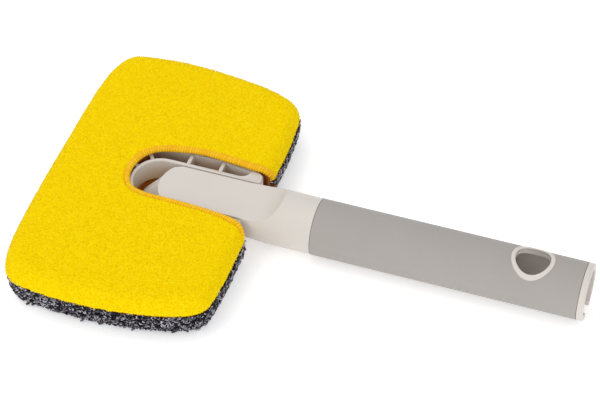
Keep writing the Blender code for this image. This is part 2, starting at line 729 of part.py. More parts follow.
def build_core(group, cutters, material):
    """Moulded handle core: hollow shaft, end rim, hole collar, flat neck and nose."""
    seat_radius = SHAFT_RADIUS - GRIP_WALL - SEAT_GAP
    start_x = PIVOT_X - NECK_FRONT_REACH
    corner = END_RIM_ROUND
    rounding = [
        (END_X - corner + corner * math.cos(angle), SHAFT_RADIUS - corner + corner * math.sin(angle))
        for angle in (0.0, math.pi / 6, math.pi / 3, math.pi / 2)
    ]
    profile = [(END_X, 0.0)] + rounding + [
        (RIM_X, SHAFT_RADIUS),
        (RIM_X, seat_radius),
        (GRIP_X, seat_radius),
        (GRIP_X, SHAFT_RADIUS),
        (start_x, SHAFT_RADIUS),
        (start_x, 0.0),
    ]
    core = turned("handle_core", profile, SHAFT_SIDES)
    for name, sign in (("upper flat", 1), ("lower flat", -1)):
        boolean(core, place(as_cutter(flat_cutter(name, sign)), cutters), "DIFFERENCE")
    for name, sign in (("left side flat", 1), ("right side flat", -1)):
        boolean(core, place(as_cutter(side_cutter(name, sign)), cutters), "DIFFERENCE")
    front_x = start_x - CUT_OVERRUN
    wide = SHAFT_RADIUS + CUT_OVERRUN
    edge = neck_front()
    loop = [(front_x, -wide), (edge[0][0], -wide)] + edge + [(edge[-1][0], wide), (front_x, wide)]
    front = flat_solid("neck front", [loop], SHAFT_RADIUS + CUT_OVERRUN, AXIS_Z)
    boolean(core, place(as_cutter(front), cutters), "DIFFERENCE")
    boolean(core, place(as_cutter(nose_solid()), cutters), "UNION")
    half = NECK_HALF_WIDTH - HAIR
    barrel = cylinder("pivot barrel", BARREL_RADIUS, (PIVOT_X, -half, AXIS_Z), (PIVOT_X, half, AXIS_Z),
                      PIN_SIDES)
    boolean(core, place(as_cutter(barrel), cutters), "UNION")
    wide_half = NECK_HALF_WIDTH + CUT_OVERRUN
    bore = cylinder("neck pin bore", PIN_RADIUS + PIN_CLEARANCE, (PIVOT_X, -wide_half, AXIS_Z),
                    (PIVOT_X, wide_half, AXIS_Z), PIN_SIDES)
    boolean(core, place(as_cutter(bore), cutters), "DIFFERENCE")
    envelope = cylinder("shaft surface", SHAFT_RADIUS, (GRIP_X, 0, AXIS_Z), (RIM_X, 0, AXIS_Z), SHAFT_SIDES)
    place(as_cutter(envelope), cutters)
    collar = cylinder("hole collar", HANG_HOLE_RADIUS + COLLAR_WALL, (HOLE_X, 0, AXIS_Z),
                      (HOLE_X, 0, AXIS_Z + SHAFT_RADIUS + CUT_OVERRUN), HOLE_SIDES, math.pi / HOLE_SIDES)
    place(as_cutter(collar), cutters)
    boolean(collar, envelope, "INTERSECT")
    boolean(core, collar, "UNION")
    hollow = cylinder("handle bore", BORE_RADIUS, (GRIP_X - BORE_PAST_GRIP, 0, AXIS_Z),
                      (END_X + CUT_OVERRUN, 0, AXIS_Z), SHAFT_SIDES, math.pi / SHAFT_SIDES)
    boolean(core, place(as_cutter(hollow), cutters), "DIFFERENCE")
    hole = cylinder("hanging hole", HANG_HOLE_RADIUS, (HOLE_X, 0, AXIS_Z),
                    (HOLE_X, 0, AXIS_Z + SHAFT_RADIUS + CUT_OVERRUN), HOLE_SIDES, math.pi / HOLE_SIDES)
    boolean(core, place(as_cutter(hole), cutters), "DIFFERENCE")
    notch = box("drain notch", (END_X - DRAIN_NOTCH_DEPTH, -DRAIN_NOTCH_WIDTH / 2, -CUT_OVERRUN),
                (END_X + CUT_OVERRUN, DRAIN_NOTCH_WIDTH / 2, AXIS_Z - BORE_RADIUS / 2))
    boolean(core, place(as_cutter(notch), cutters), "DIFFERENCE")
    place(core, group, material)
    return core


def nose_solid():
    """Nose of the neck: a round lower tongue, sloping up to the front edge of the upper flat."""
    bm = bmesh.new()
    low = AXIS_Z - NECK_HALF_THICKNESS + HAIR
    rim = low + NOSE_RIM_HEIGHT
    top = AXIS_Z + NECK_HALF_THICKNESS - HAIR
    centre = (PIVOT_X - NOSE_CENTRE_REACH, 0.0)
    back = PIVOT_X + NOSE_BACK_REACH
    for radius, height in ((NOSE_RADIUS, rim), (NOSE_RADIUS - NOSE_UNDER_INSET, low)):
        for x, y in arc(centre, radius, math.pi / 2, 3 * math.pi / 2, 16):
            bm.verts.new((x, y, height))
    for x, y in neck_front():
        if abs(y) < NOSE_SHOULDER:
            bm.verts.new((x + HAIR, y, top))
    for side in (1, -1):
        bm.verts.new((back, side * NOSE_RADIUS, low))
        bm.verts.new((back, side * NOSE_SHOULDER, top))
    bmesh.ops.convex_hull(bm, input=bm.verts)
    return mesh_object("nose", bm)


def build_grip(group, cutters, material):
    """Soft grip sleeve with a clear hole round the collar."""
    inner = SHAFT_RADIUS - GRIP_WALL
    first = GRIP_X + SEAT_GAP
    last = RIM_X - SEAT_GAP
    profile = [(last, inner), (last, SHAFT_RADIUS), (first, SHAFT_RADIUS), (first, inner), (last, inner)]
    grip = turned("grip_sleeve", profile, SHAFT_SIDES)
    hole = cylinder("grip hole", HANG_HOLE_RADIUS + COLLAR_WALL + SEAT_GAP, (HOLE_X, 0, AXIS_Z),
                    (HOLE_X, 0, AXIS_Z + SHAFT_RADIUS + CUT_OVERRUN), HOLE_SIDES, math.pi / HOLE_SIDES)
    boolean(grip, place(as_cutter(hole), cutters), "DIFFERENCE")
    notch_end = END_X - DRAIN_NOTCH_DEPTH
    if notch_end < last:
        notch = box("grip notch", (notch_end, -DRAIN_NOTCH_WIDTH / 2, -CUT_OVERRUN),
                    (END_X + CUT_OVERRUN, DRAIN_NOTCH_WIDTH / 2, AXIS_Z - BORE_RADIUS / 2))
        boolean(grip, place(as_cutter(notch), cutters), "DIFFERENCE")
    place(grip, group, material)
    return grip


def build_pin(group, material):
    """Pivot pin across the neck, seated in both bosses."""
    half = COAMING_OUTER + BOSS_LENGTH - PIN_END_INSET
    pin = cylinder("pivot_pin", PIN_RADIUS, (PIVOT_X, -half, AXIS_Z), (PIVOT_X, half, AXIS_Z), PIN_SIDES)
    return place(pin, group, material)


def build_washer(name, side, group, cutters, material):
    """Friction washer between the neck and the coaming."""
    middle = (NECK_HALF_WIDTH + COAMING_HALF_WIDTH) / 2
    low = side * (middle - WASHER_THICKNESS / 2)
    high = side * (middle + WASHER_THICKNESS / 2)
    washer = cylinder(name, WASHER_RADIUS, (PIVOT_X, low, AXIS_Z), (PIVOT_X, high, AXIS_Z), PIN_SIDES)
    far = WASHER_THICKNESS + SEAT_GAP
    hole = cylinder(name + " hole", PIN_RADIUS + PIN_CLEARANCE, (PIVOT_X, side * middle - far, AXIS_Z),
                    (PIVOT_X, side * middle + far, AXIS_Z), PIN_SIDES)
    boolean(washer, place(as_cutter(hole), cutters), "DIFFERENCE")
    return place(washer, group, material)


def hang_on(empty_name, place_at, group, pieces):
    """Parent pieces to an empty on their own datum, keeping them where they are."""
    empty = bpy.data.objects.new(empty_name, None)
    empty.location = place_at
    group.objects.link(empty)
    for piece in pieces:
        piece.parent = empty
        piece.matrix_parent_inverse = Matrix.Translation(place_at).inverted()
    return empty


def main():
    """Build the whole scrubber."""
    clear_scene()
    parts = new_collection("Bath scrubber")
    cutters = new_collection("Cutters")
    cream = new_material("Cream plastic", (0.72, 0.68, 0.62), 0.38)
    grey = new_material("Grey soft grip", (0.40, 0.38, 0.36), 0.55)
    yellow = new_material("Yellow scouring cloth", (0.93, 0.62, 0.01), 0.85)
    amber = new_material("Amber overlock", (0.93, 0.50, 0.02), 0.80)
    charcoal = new_material("Charcoal chenille", (0.07, 0.07, 0.09), 0.95)
    nylon = new_material("Nylon washer", (0.80, 0.80, 0.78), 0.45)
    pin_steel = new_material("Pin steel", (0.62, 0.62, 0.62), 0.35, 1.0)

    core = build_core(parts, cutters, cream)
    grip = build_grip(parts, cutters, grey)
    frame = build_frame(parts, cutters, cream)
    pin = build_pin(parts, pin_steel)
    washers = [
        build_washer("friction_washer_left", 1, parts, cutters, nylon),
        build_washer("friction_washer_right", -1, parts, cutters, nylon),
    ]
    scrub = build_scrub_cover(parts, cutters, yellow)
    chenille = build_chenille_cover(parts, cutters, charcoal)
    bindings = [
        build_binding("scrub_opening_binding", scrub_opening(), 1, SCRUB_ROUND_IN, parts, amber),
        build_binding("chenille_opening_binding", chenille_opening(), -1, CHENILLE_ROUND_IN, parts,
                      amber),
    ]
    hang_on("handle pivot", (PIVOT_X, 0.0, AXIS_Z), parts, [core, grip])
    head_pieces = [frame, pin, *washers, scrub, chenille, *bindings]
    hang_on("head", (PIVOT_X, 0.0, AXIS_Z), parts, head_pieces)
    for piece in (core, grip, pin, *washers):
        shade_round(piece)


main()
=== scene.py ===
"""Bath scrubber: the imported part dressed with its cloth, thread, plastic and grip finishes."""

import json
import logging
import math
from contextlib import contextmanager
from dataclasses import dataclass
from enum import Enum
from typing import Callable, Iterator

import bmesh
import bpy
import numpy as np
from mathutils import Matrix, Vector, noise

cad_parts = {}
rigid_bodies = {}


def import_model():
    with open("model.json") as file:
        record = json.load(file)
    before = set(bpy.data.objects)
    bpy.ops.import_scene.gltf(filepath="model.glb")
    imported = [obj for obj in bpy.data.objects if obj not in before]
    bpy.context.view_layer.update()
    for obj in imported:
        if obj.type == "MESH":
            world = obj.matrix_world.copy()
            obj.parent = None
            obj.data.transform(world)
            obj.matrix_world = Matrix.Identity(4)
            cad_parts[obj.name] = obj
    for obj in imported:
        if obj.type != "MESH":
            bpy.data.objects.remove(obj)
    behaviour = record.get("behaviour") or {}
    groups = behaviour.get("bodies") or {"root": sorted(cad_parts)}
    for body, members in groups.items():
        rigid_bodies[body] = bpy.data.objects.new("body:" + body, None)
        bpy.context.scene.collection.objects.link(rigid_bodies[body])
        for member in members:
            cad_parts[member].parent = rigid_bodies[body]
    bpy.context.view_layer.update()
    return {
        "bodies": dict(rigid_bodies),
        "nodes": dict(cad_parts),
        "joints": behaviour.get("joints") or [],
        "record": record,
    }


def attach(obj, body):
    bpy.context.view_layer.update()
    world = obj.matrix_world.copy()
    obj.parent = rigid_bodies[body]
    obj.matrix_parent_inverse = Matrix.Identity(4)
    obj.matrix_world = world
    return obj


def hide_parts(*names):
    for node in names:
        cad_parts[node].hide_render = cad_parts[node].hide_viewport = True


LOG = logging.getLogger("bath_scrubber")

# Distances in metres and an angle in radians that the mesh work goes by.
WELD = 0.000002
ON_PLANE = 0.00002
SHARP_ANGLE = 1.0

# Most points on a square metre that a scatter tries, and the seeds of all that is random.
SCATTER_LIMIT = 4.0e6
LOOP_SEED = 11
STRAND_SEED = 37
STITCH_SEED = 70

# Sockets of a Mix node that hold its two colours and their mix.
MIX_COLOURS = (6, 7)
MIX_RESULT = 2

BLACK = (0.0, 0.0, 0.0, 1.0)
WHITE = (1.0, 1.0, 1.0, 1.0)

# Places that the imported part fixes, in metres.
AXIS_Z = 0.0165
SHAFT_RADIUS = 0.0165
HEAD_REAR_X = -0.0341
HEAD_CENTRE = (-0.0970, 0.0)
SEAM_Z = 0.0174
CAVITY_FLOOR_Z = 0.0082
CAVITY_TOP_Z = 0.0248


class Body(str, Enum):
    """The two bodies that the hinge joins."""

    HEAD = "head"
    HANDLE = "handle"


class Side(Enum):
    """The two faces of the cover, with the sign of the way each one faces."""

    SCRUB = 1
    CHENILLE = -1


def srgb(red: float, green: float, blue: float) -> tuple[float, float, float, float]:
    """Turn a colour from 0 to 255 into linear colour.

    Args:
        red: Red, from 0 to 255.
        green: Green, from 0 to 255.
        blue: Blue, from 0 to 255.

    Returns:
        The linear colour with full alpha.
    """
    line = []
    for value in (red, green, blue):
        share = value / 255
        line.append(share / 12.92 if share <= 0.04045 else ((share + 0.055) / 1.055) ** 2.4)
    return (line[0], line[1], line[2], 1.0)


def feed(tree: bpy.types.NodeTree, socket: bpy.types.NodeSocket, value: object) -> None:
    """Link another socket into a socket, or set its value.

    Args:
        tree: The node tree that holds the socket.
        socket: The socket to fill.
        value: Another socket, or a plain value.
    """
    if isinstance(value, bpy.types.NodeSocket):
        tree.links.new(value, socket)
    else:
        socket.default_value = value


# Materials


@dataclass(frozen=True)
class Shading:
    """Node helper for one material: adds nodes and joins them."""

    material: bpy.types.Material

    @property
    def nodes(self) -> bpy.types.Nodes:
        """The material's nodes."""
        return self.material.node_tree.nodes

    @property
    def shader(self) -> bpy.types.Node:
        """The material's Principled shader."""
        return self.nodes["Principled BSDF"]

    def add(self, kind: str, **settings: object) -> bpy.types.Node:
        """Add a node.

        Args:
            kind: The node's type name.
            settings: Values of the node's properties.

        Returns:
            The new node.
        """
        node = self.nodes.new(kind)
        for name, value in settings.items():
            setattr(node, name, value)
        return node

    def join(self, source: bpy.types.NodeSocket, target: bpy.types.NodeSocket) -> None:
        """Link one socket to another."""
        self.material.node_tree.links.new(source, target)

    def place(self) -> bpy.types.NodeSocket:
        """Object coordinates of the piece."""
        return self.add("ShaderNodeTexCoord").outputs["Object"]

    def grain(self, scale: float, detail: float = 2.0,
              roughness: float = 0.5) -> bpy.types.NodeSocket:
        """Noise on the piece.

        Args:
            scale: Cells in a metre.
            detail: Octaves.
            roughness: Share that each finer octave keeps.

        Returns:
            The noise's value.
        """
        node = self.add("ShaderNodeTexNoise")
        node.inputs["Scale"].default_value = scale
        node.inputs["Detail"].default_value = detail
        node.inputs["Roughness"].default_value = roughness
        self.join(self.place(), node.inputs["Vector"])
        return node.outputs["Fac"]

    def ramp(self, value: bpy.types.NodeSocket,
             stops: list[tuple[float, tuple]]) -> bpy.types.NodeSocket:
        """Colour ramp over a value.

        Args:
            value: The socket to read.
            stops: Place and colour of each stop.

        Returns:
            The ramp's colour.
        """
        node = self.add("ShaderNodeValToRGB")
        band = node.color_ramp
        while len(band.elements) < len(stops):
            band.elements.new(0.5)
        for element, (place, colour) in zip(band.elements, stops):
            element.position = place
            element.color = colour
        self.join(value, node.inputs["Fac"])
        return node.outputs["Color"]

    def mixed(self, share: bpy.types.NodeSocket, first: object,
              second: object) -> bpy.types.NodeSocket:
        """Mix two colours.

        Args:
            share: How much of the second shows.
            first: Colour or socket.
            second: Colour or socket.

        Returns:
            The mixed colour.
        """
        node = self.add("ShaderNodeMix", data_type="RGBA")
        self.join(share, node.inputs["Factor"])
        for slot, value in zip(MIX_COLOURS, (first, second)):
            feed(self.material.node_tree, node.inputs[slot], value)
        return node.outputs[MIX_RESULT]

    def spread(self, value: bpy.types.NodeSocket, onto: tuple[float, float],
               within: tuple[float, float] = (0.0, 1.0)) -> bpy.types.NodeSocket:
        """Map a value from one range onto another.

        Args:
            value: The socket to read.
            onto: The two ends of the new range.
            within: The two ends of the range that the value is in.

        Returns:
            The mapped value.
        """
        node = self.add("ShaderNodeMapRange")
        for name, end in zip(("From Min", "From Max", "To Min", "To Max"), (*within, *onto)):
            node.inputs[name].default_value = end
        self.join(value, node.inputs["Value"])
        return node.outputs["Result"]

    def bump(self, height: bpy.types.NodeSocket, strength: float, depth: float,
             below: bpy.types.NodeSocket | None = None) -> bpy.types.NodeSocket:
        """Bump from a height.

        Args:
            height: The height's socket.
            strength: Share of the effect.
            depth: Height of a full step, in metres.
            below: Normal of a bump under this one.

        Returns:
            The bumped normal.
        """
        node = self.add("ShaderNodeBump")
        node.inputs["Strength"].default_value = strength
        node.inputs["Distance"].default_value = depth
        self.join(height, node.inputs["Height"])
        if below is not None:
            self.join(below, node.inputs["Normal"])
        return node.outputs["Normal"]

    def attribute(self, name: str) -> bpy.types.NodeSocket:
        """Value that a piece's mesh carries under a name."""
        return self.add("ShaderNodeAttribute", attribute_name=name).outputs["Fac"]

    def patches(self, value: bpy.types.NodeSocket,
                band: tuple[float, float]) -> bpy.types.NodeSocket:
        """Black where a value is under a band, turning to white over it."""
        return self.ramp(value, [(0.0, BLACK), (band[0], BLACK), (band[1], WHITE)])

    def paint(self, colour: object, roughness: object, normal: object) -> bpy.types.Material:
        """Give the shader its colour, roughness and normal.

        Args:
            colour: Base colour, plain or a socket.
            roughness: Roughness, plain or a socket.
            normal: The normal's socket.

        Returns:
            The finished material.
        """
        for name, value in (("Base Color", colour), ("Roughness", roughness), ("Normal", normal)):
            feed(self.material.node_tree, self.shader.inputs[name], value)
        return self.material


@dataclass(frozen=True)
class Finish:
    """A surface's look: every finish makes one procedural material."""

    name: str

    def start(self, ior: float | None = None, specular: float | None = None) -> Shading:
        """Make the empty material with its shader.

        Args:
            ior: Index of refraction, or None for the shader's own.
            specular: Specular level, or None for the shader's own.

        Returns:
            The material's node helper.
        """
        material = bpy.data.materials.new(self.name)
        material.use_nodes = True
        look = Shading(material)
        for name, value in (("IOR", ior), ("Specular IOR Level", specular)):
            if value is not None:
                look.shader.inputs[name].default_value = value
        return look


@dataclass(frozen=True)
class MouldedPlastic(Finish):
    """Hard moulded plastic with a fine spark-eroded grain."""

    colour: tuple = srgb(212, 206, 200)
    shade: tuple = srgb(205, 198, 191)
    gloss: float = 0.42
    ior: float = 1.47
    gloss_scale: float = 260.0
    cloud_scale: float = 38.0
    flow_scale: float = 30.0
    flow_depth: float = 0.0002
    flow_strength: float = 0.25
    grain_strength: float = 0.5
    grain_scale: float = 2600.0
    grain_depth: float = 0.00003

    def make(self) -> bpy.types.Material:
        """Build the material.

        Returns:
            The material.
        """
        look = self.start(self.ior)
        flow = look.bump(look.grain(self.flow_scale, 1.0), self.flow_strength, self.flow_depth)
        return look.paint(
            look.mixed(look.grain(self.cloud_scale, 3.0), self.colour, self.shade),
            look.spread(look.grain(self.gloss_scale), (self.gloss - 0.05, self.gloss + 0.07)),
            look.bump(look.grain(self.grain_scale), self.grain_strength, self.grain_depth, flow))


@dataclass(frozen=True)
class BounceShadedPlastic(MouldedPlastic):
    """Moulded plastic with a painted warm reflection and painted shade, darker and browner lower
    down.
    """

    # Painted warm reflection and shade: the colour that the plastic turns to low between the
    # walls.
    deep: tuple = srgb(202, 168, 122)
    low_z: float = 0.0085
    high_z: float = 0.0235

    def make(self) -> bpy.types.Material:
        """Build the material.

        Returns:
            The material.
        """
        look = Shading(super().make())
        paint = look.shader.inputs["Base Color"]
        plain = paint.links[0].from_socket
        parts = look.add("ShaderNodeSeparateXYZ")
        look.join(look.place(), parts.inputs["Vector"])
        # Painted shade: the colour runs to the darker, warmer one from high_z down to low_z.
        depth = look.spread(parts.outputs["Z"], (0.0, 1.0), (self.high_z, self.low_z))
        look.join(look.mixed(depth, plain, self.deep), paint)
        return look.material


@dataclass(frozen=True)
class SoftGrip(Finish):
    """Grey soft-touch elastomer."""

    colour: tuple = srgb(167, 162, 157)
    shade: tuple = srgb(158, 153, 149)
    gloss: tuple = (0.56, 0.72)
    ior: float = 1.45
    gloss_scale: float = 420.0
    cloud_scale: float = 26.0
    grain_scale: float = 3300.0
    grain_depth: float = 0.00005
    grain_strength: float = 0.55

    def make(self) -> bpy.types.Material:
        """Build the material.

        Returns:
            The material.
        """
        look = self.start(self.ior)
        return look.paint(
            look.mixed(look.grain(self.cloud_scale, 4.0, 0.6), self.colour, self.shade),
            look.spread(look.grain(self.gloss_scale, 3.0), self.gloss),
            look.bump(look.grain(self.grain_scale, 3.0), self.grain_strength, self.grain_depth))


@dataclass(frozen=True)
class PinMetal(Finish):
    """Drawn steel of the hinge pin."""

    colour: tuple = (0.56, 0.56, 0.57, 1.0)
    gloss: tuple = (0.24, 0.42)
    gloss_scale: float = 900.0
    grain_scale: float = 1800.0
    grain_depth: float = 0.00002
    grain_strength: float = 0.3

    def make(self) -> bpy.types.Material:
        """Build the material.

        Returns:
            The material.
        """
        look = self.start()
        look.shader.inputs["Metallic"].default_value = 1.0
        return look.paint(self.colour, look.spread(look.grain(self.gloss_scale, 4.0), self.gloss),
                          look.bump(look.grain(self.grain_scale), self.grain_strength,
                                    self.grain_depth))


@dataclass(frozen=True)
class ScouringCloth(Finish):
    """Yellow knitted scouring cloth, with painted highlights on a random share of its loops."""

    colour: tuple = srgb(247, 215, 0)
    deep: tuple = srgb(236, 199, 0)
    # Painted highlight colour, taken by a random share of the loops.
    painted_glint: tuple = srgb(255, 242, 44)
    ior: float = 1.4
    specular: float = 0.05
    gloss: tuple = (0.62, 0.82)
    gloss_scale: float = 500.0
    mottle_scale: float = 950.0
    mottle_band: tuple = (0.44, 0.66)
    painted_glint_band: tuple = (0.55, 0.85)
    loop_scale: float = 760.0
    loop_depth: float = 0.0005
    loop_strength: float = 0.7
    fibre_scale: float = 2400.0
    fibre_depth: float = 0.0002
    fibre_strength: float = 0.6

    def make(self) -> bpy.types.Material:
        """Build the material.

        Returns:
            The material.
        """
        look = self.start(self.ior, self.specular)
        mottle = look.patches(look.grain(self.mottle_scale, 2.0, 0.6), self.mottle_band)
        # Painted highlights: loops whose random shade value passes the band turn to the highlight
        # colour.
        painted_glints = look.patches(look.attribute("shade"), self.painted_glint_band)
        loops = look.bump(look.grain(self.loop_scale, 2.0, 0.6), self.loop_strength,
                          self.loop_depth)
        return look.paint(
            look.mixed(painted_glints, look.mixed(mottle, self.colour, self.deep), self.painted_glint),
            look.spread(look.grain(self.gloss_scale), self.gloss),
            look.bump(look.grain(self.fibre_scale), self.fibre_strength, self.fibre_depth, loops))


@dataclass(frozen=True)
class Thread(Finish):
    """Spun sewing thread or yarn, with a colour from dark to light by strand."""

    dark: tuple
    light: tuple
    pitch: float = 1500.0
    depth: float = 0.00012
    skew: float = 1.0
    ior: float = 1.4
    specular: float = 0.15
    gloss: tuple = (0.66, 0.88)
    gloss_scale: float = 900.0
    wear: float = 0.6
    ply_ratio: float = 1.6
    ply_strength: float = 0.8

    def make(self) -> bpy.types.Material:
        """Build the material.

        Returns:
            The material.
        """
        look = self.start(self.ior, self.specular)
        tone = look.add("ShaderNodeMath", operation="POWER")
        tone.inputs[1].default_value = self.skew
        look.join(look.attribute("shade"), tone.inputs[0])
        worn = look.spread(look.grain(self.pitch, 3.0, 0.7), (0.0, self.wear))
        return look.paint(
            look.mixed(worn, look.mixed(tone.outputs[0], self.dark, self.light), self.dark),
            look.spread(look.grain(self.gloss_scale), self.gloss),
            look.bump(look.grain(self.pitch * self.ply_ratio), self.ply_strength, self.depth))


@dataclass(frozen=True)
class WovenLining(Finish):
    """Plain woven lining of the cover's inside."""

    colour: tuple = srgb(236, 144, 50)
    deep: tuple = srgb(198, 106, 28)
    roughness: float = 0.85
    weave_scale: float = 420.0
    weave_depth: float = 0.0002
    weave_strength: float = 0.5
    distortion: float = 0.6

    def make(self) -> bpy.types.Material:
        """Build the material.

        Returns:
            The material.
        """
        look = self.start()
        place = look.place()
        cross = look.add("ShaderNodeMath", operation="MULTIPLY")
        for index, direction in enumerate(("X", "Y")):
            wave = look.add("ShaderNodeTexWave", wave_type="BANDS", bands_direction=direction)
            wave.inputs["Scale"].default_value = self.weave_scale
            wave.inputs["Distortion"].default_value = self.distortion
            look.join(place, wave.inputs["Vector"])
            look.join(wave.outputs["Fac"], cross.inputs[index])
        return look.paint(look.mixed(cross.outputs[0], self.deep, self.colour), self.roughness,
                          look.bump(cross.outputs[0], self.weave_strength, self.weave_depth))


@dataclass(frozen=True)
class StudioPaper(Finish):
    """Plain white paper under the object, lit from below as on a light table."""

    colour: tuple = (0.93, 0.93, 0.935, 1.0)
    glow: float = 0.34
    roughness: float = 0.9
    grain_scale: float = 900.0
    grain_depth: float = 0.0001
    grain_strength: float = 0.05

    def make(self) -> bpy.types.Material:
        """Build the material.

        Returns:
            The material.
        """
        look = self.start()
        look.shader.inputs["Emission Color"].default_value = self.colour
        look.shader.inputs["Emission Strength"].default_value = self.glow
        return look.paint(self.colour, self.roughness,
                          look.bump(look.grain(self.grain_scale), self.grain_strength,
                                    self.grain_depth))


@dataclass(frozen=True)
class Finishes:
    """All the finishes of the scrubber, made once."""

    cream: bpy.types.Material
    frame: bpy.types.Material
    grip: bpy.types.Material
    pin: bpy.types.Material
    washer: bpy.types.Material
    scouring: bpy.types.Material
    overlock: bpy.types.Material
    chenille: bpy.types.Material
    yarn: bpy.types.Material
    lining: bpy.types.Material
    fold: bpy.types.Material
    under_thread: bpy.types.Material

    @classmethod
    def make(cls) -> "Finishes":
        """Make every material.

        Returns:
            The finishes.
        """
        return cls(
            cream=MouldedPlastic("cream_plastic_look").make(),
            frame=BounceShadedPlastic("frame_plastic_painted_bounce_look").make(),
            grip=SoftGrip("soft_grip_look").make(),
            pin=PinMetal("pin_steel_look").make(),
            washer=MouldedPlastic("washer_plastic_look", srgb(236, 235, 230), srgb(228, 227, 222),
                                  0.36).make(),
            scouring=ScouringCloth("scouring_cloth_look").make(),
            overlock=Thread("overlock_thread_look", srgb(236, 176, 14), srgb(252, 218, 60)).make(),
            chenille=Thread("chenille_ground_look", srgb(22, 19, 24), srgb(36, 32, 40)).make(),
            # Strand tone runs at random from near black to near white: partly the yarn's own tone,
            # partly painted highlights on its fibres.
            yarn=Thread("chenille_yarn_tone_and_highlight_look", srgb(17, 14, 20), srgb(240, 236, 248), 900.0,
                        0.0002, 2.6).make(),
            lining=WovenLining("lining_look").make(),
            # Painted shade: the folds take a darker copy of the lining's colours.
            fold=WovenLining("folded_lining_painted_shade_look", srgb(184, 104, 36), srgb(142, 72, 18)).make(),
            # Painted shade: the lower binding's thread is a darker brown copy of the amber
            # overlock thread.
            under_thread=Thread("under_thread_look", srgb(146, 80, 12), srgb(190, 116, 28)).make(),
        )


# Meshes


@contextmanager
def editing(source: bpy.types.Mesh,
            target: bpy.types.Mesh | None = None) -> Iterator[bmesh.types.BMesh]:
    """Open a mesh for editing, and write the result back at the end.

    Args:
        source: The mesh to read.
        target: The mesh to write, or None for the same one.

    Yields:
        The editable mesh.
    """
    bm = bmesh.new()
    bm.from_mesh(source)
    yield bm
    bm.to_mesh(source if target is None else target)
    bm.free()


def linked(name: str, mesh: bpy.types.Mesh) -> bpy.types.Object:
    """Put a mesh into the scene as an object at the origin.

    Args:
        name: Name of the object.
        mesh: Its mesh.

    Returns:
        The object.
    """
    item = bpy.data.objects.new(name, mesh)
    bpy.context.scene.collection.objects.link(item)
    return item


def merged_copy(node: bpy.types.Object, name: str) -> bpy.types.Object:
    """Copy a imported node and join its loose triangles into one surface.

    Args:
        node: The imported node.
        name: Name of the copy.

    Returns:
        The copy, at the origin.
    """
    mesh = bpy.data.meshes.new(name)
    with editing(node.data, mesh) as bm:
        bmesh.ops.remove_doubles(bm, verts=bm.verts, dist=WELD)
        bmesh.ops.dissolve_degenerate(bm, edges=bm.edges, dist=WELD)
    return linked(name, mesh)


def dressed(item: bpy.types.Object, *looks: bpy.types.Material) -> bpy.types.Object:
    """Give a piece its materials, in slot order.

    Args:
        item: The piece.
        looks: Its materials.

    Returns:
        The piece.
    """
    item.data.materials.clear()
    for look in looks:
        item.data.materials.append(look)
    return item


def fitted(piece: bpy.types.Object, body: Body, node: str = "") -> bpy.types.Object:
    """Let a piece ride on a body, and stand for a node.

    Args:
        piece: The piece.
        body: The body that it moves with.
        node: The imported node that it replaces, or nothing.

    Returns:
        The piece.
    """
    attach(piece, body.value)
    if node:
        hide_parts(node)
    return piece


def round_edges(bm: bmesh.types.BMesh, axis: int, level: float, radius: float,
                segments: int) -> None:
    """Round the sharp edges that lie in one plane.

    Args:
        bm: The mesh.
        axis: The axis that the plane is square to: 0, 1 or 2.
        level: The plane's place on that axis.
        radius: Radius of the rounding.
        segments: Steps of the rounding.
    """
    rim = [edge for edge in bm.edges
           if all(abs(vert.co[axis] - level) < ON_PLANE for vert in edge.verts)
           and edge.is_manifold and edge.calc_face_angle(0.0) > SHARP_ANGLE]
    bmesh.ops.bevel(bm, geom=rim, offset=radius, offset_type="OFFSET", segments=segments,
                    profile=0.5, affect="EDGES", clamp_overlap=True)


@dataclass(frozen=True)
class Round:
    """A round surface about an axis, where normals point straight off the axis."""

    centre: tuple[float, float, float]
    axis: int
    radius: float
    tolerance: float = 0.00015
    least_turn: float = 0.94

    def normal(self, spot: Vector, facing: Vector) -> Vector | None:
        """The true normal at a corner of a face that lies on the surface.

        Args:
            spot: The corner.
            facing: The face's own normal.

        Returns:
            The true normal, or None off the surface.
        """
        out = spot - Vector(self.centre)
        out[self.axis] = 0.0
        length = out.length
        if abs(length - self.radius) > self.tolerance:
            return None
        out /= length
        turn = out.dot(facing)
        if abs(turn) < self.least_turn:
            return None
        return out if turn > 0 else -out


def shade_true(item: bpy.types.Object, rounds: tuple[Round, ...], limit: float) -> None:
    """Set corner normals: exact on round surfaces, averaged over gentle edges elsewhere.

    Args:
        item: The piece.
        rounds: Its round surfaces.
        limit: Angle in degrees past which an edge stays sharp.
    """
    bm = bmesh.new()
    bm.from_mesh(item.data)
    least = math.cos(math.radians(limit))
    normals: list[Vector] = []
    areas = {face: face.calc_area() for face in bm.faces}
    for face in bm.faces:
        for vert in face.verts:
            found = None
            for surface in rounds:
                found = surface.normal(vert.co, face.normal)
                if found is not None:
                    break
            if found is None:
                found = Vector((0.0, 0.0, 0.0))
                for other in vert.link_faces:
                    if other.normal.dot(face.normal) > least:
                        found += other.normal * areas[other]
                if found.length == 0.0:
                    found = face.normal.copy()
                found.normalize()
            normals.append(found)
    bm.free()
    item.data.polygons.foreach_set("use_smooth", [True] * len(item.data.polygons))
    item.data.normals_split_custom_set([tuple(normal) for normal in normals])


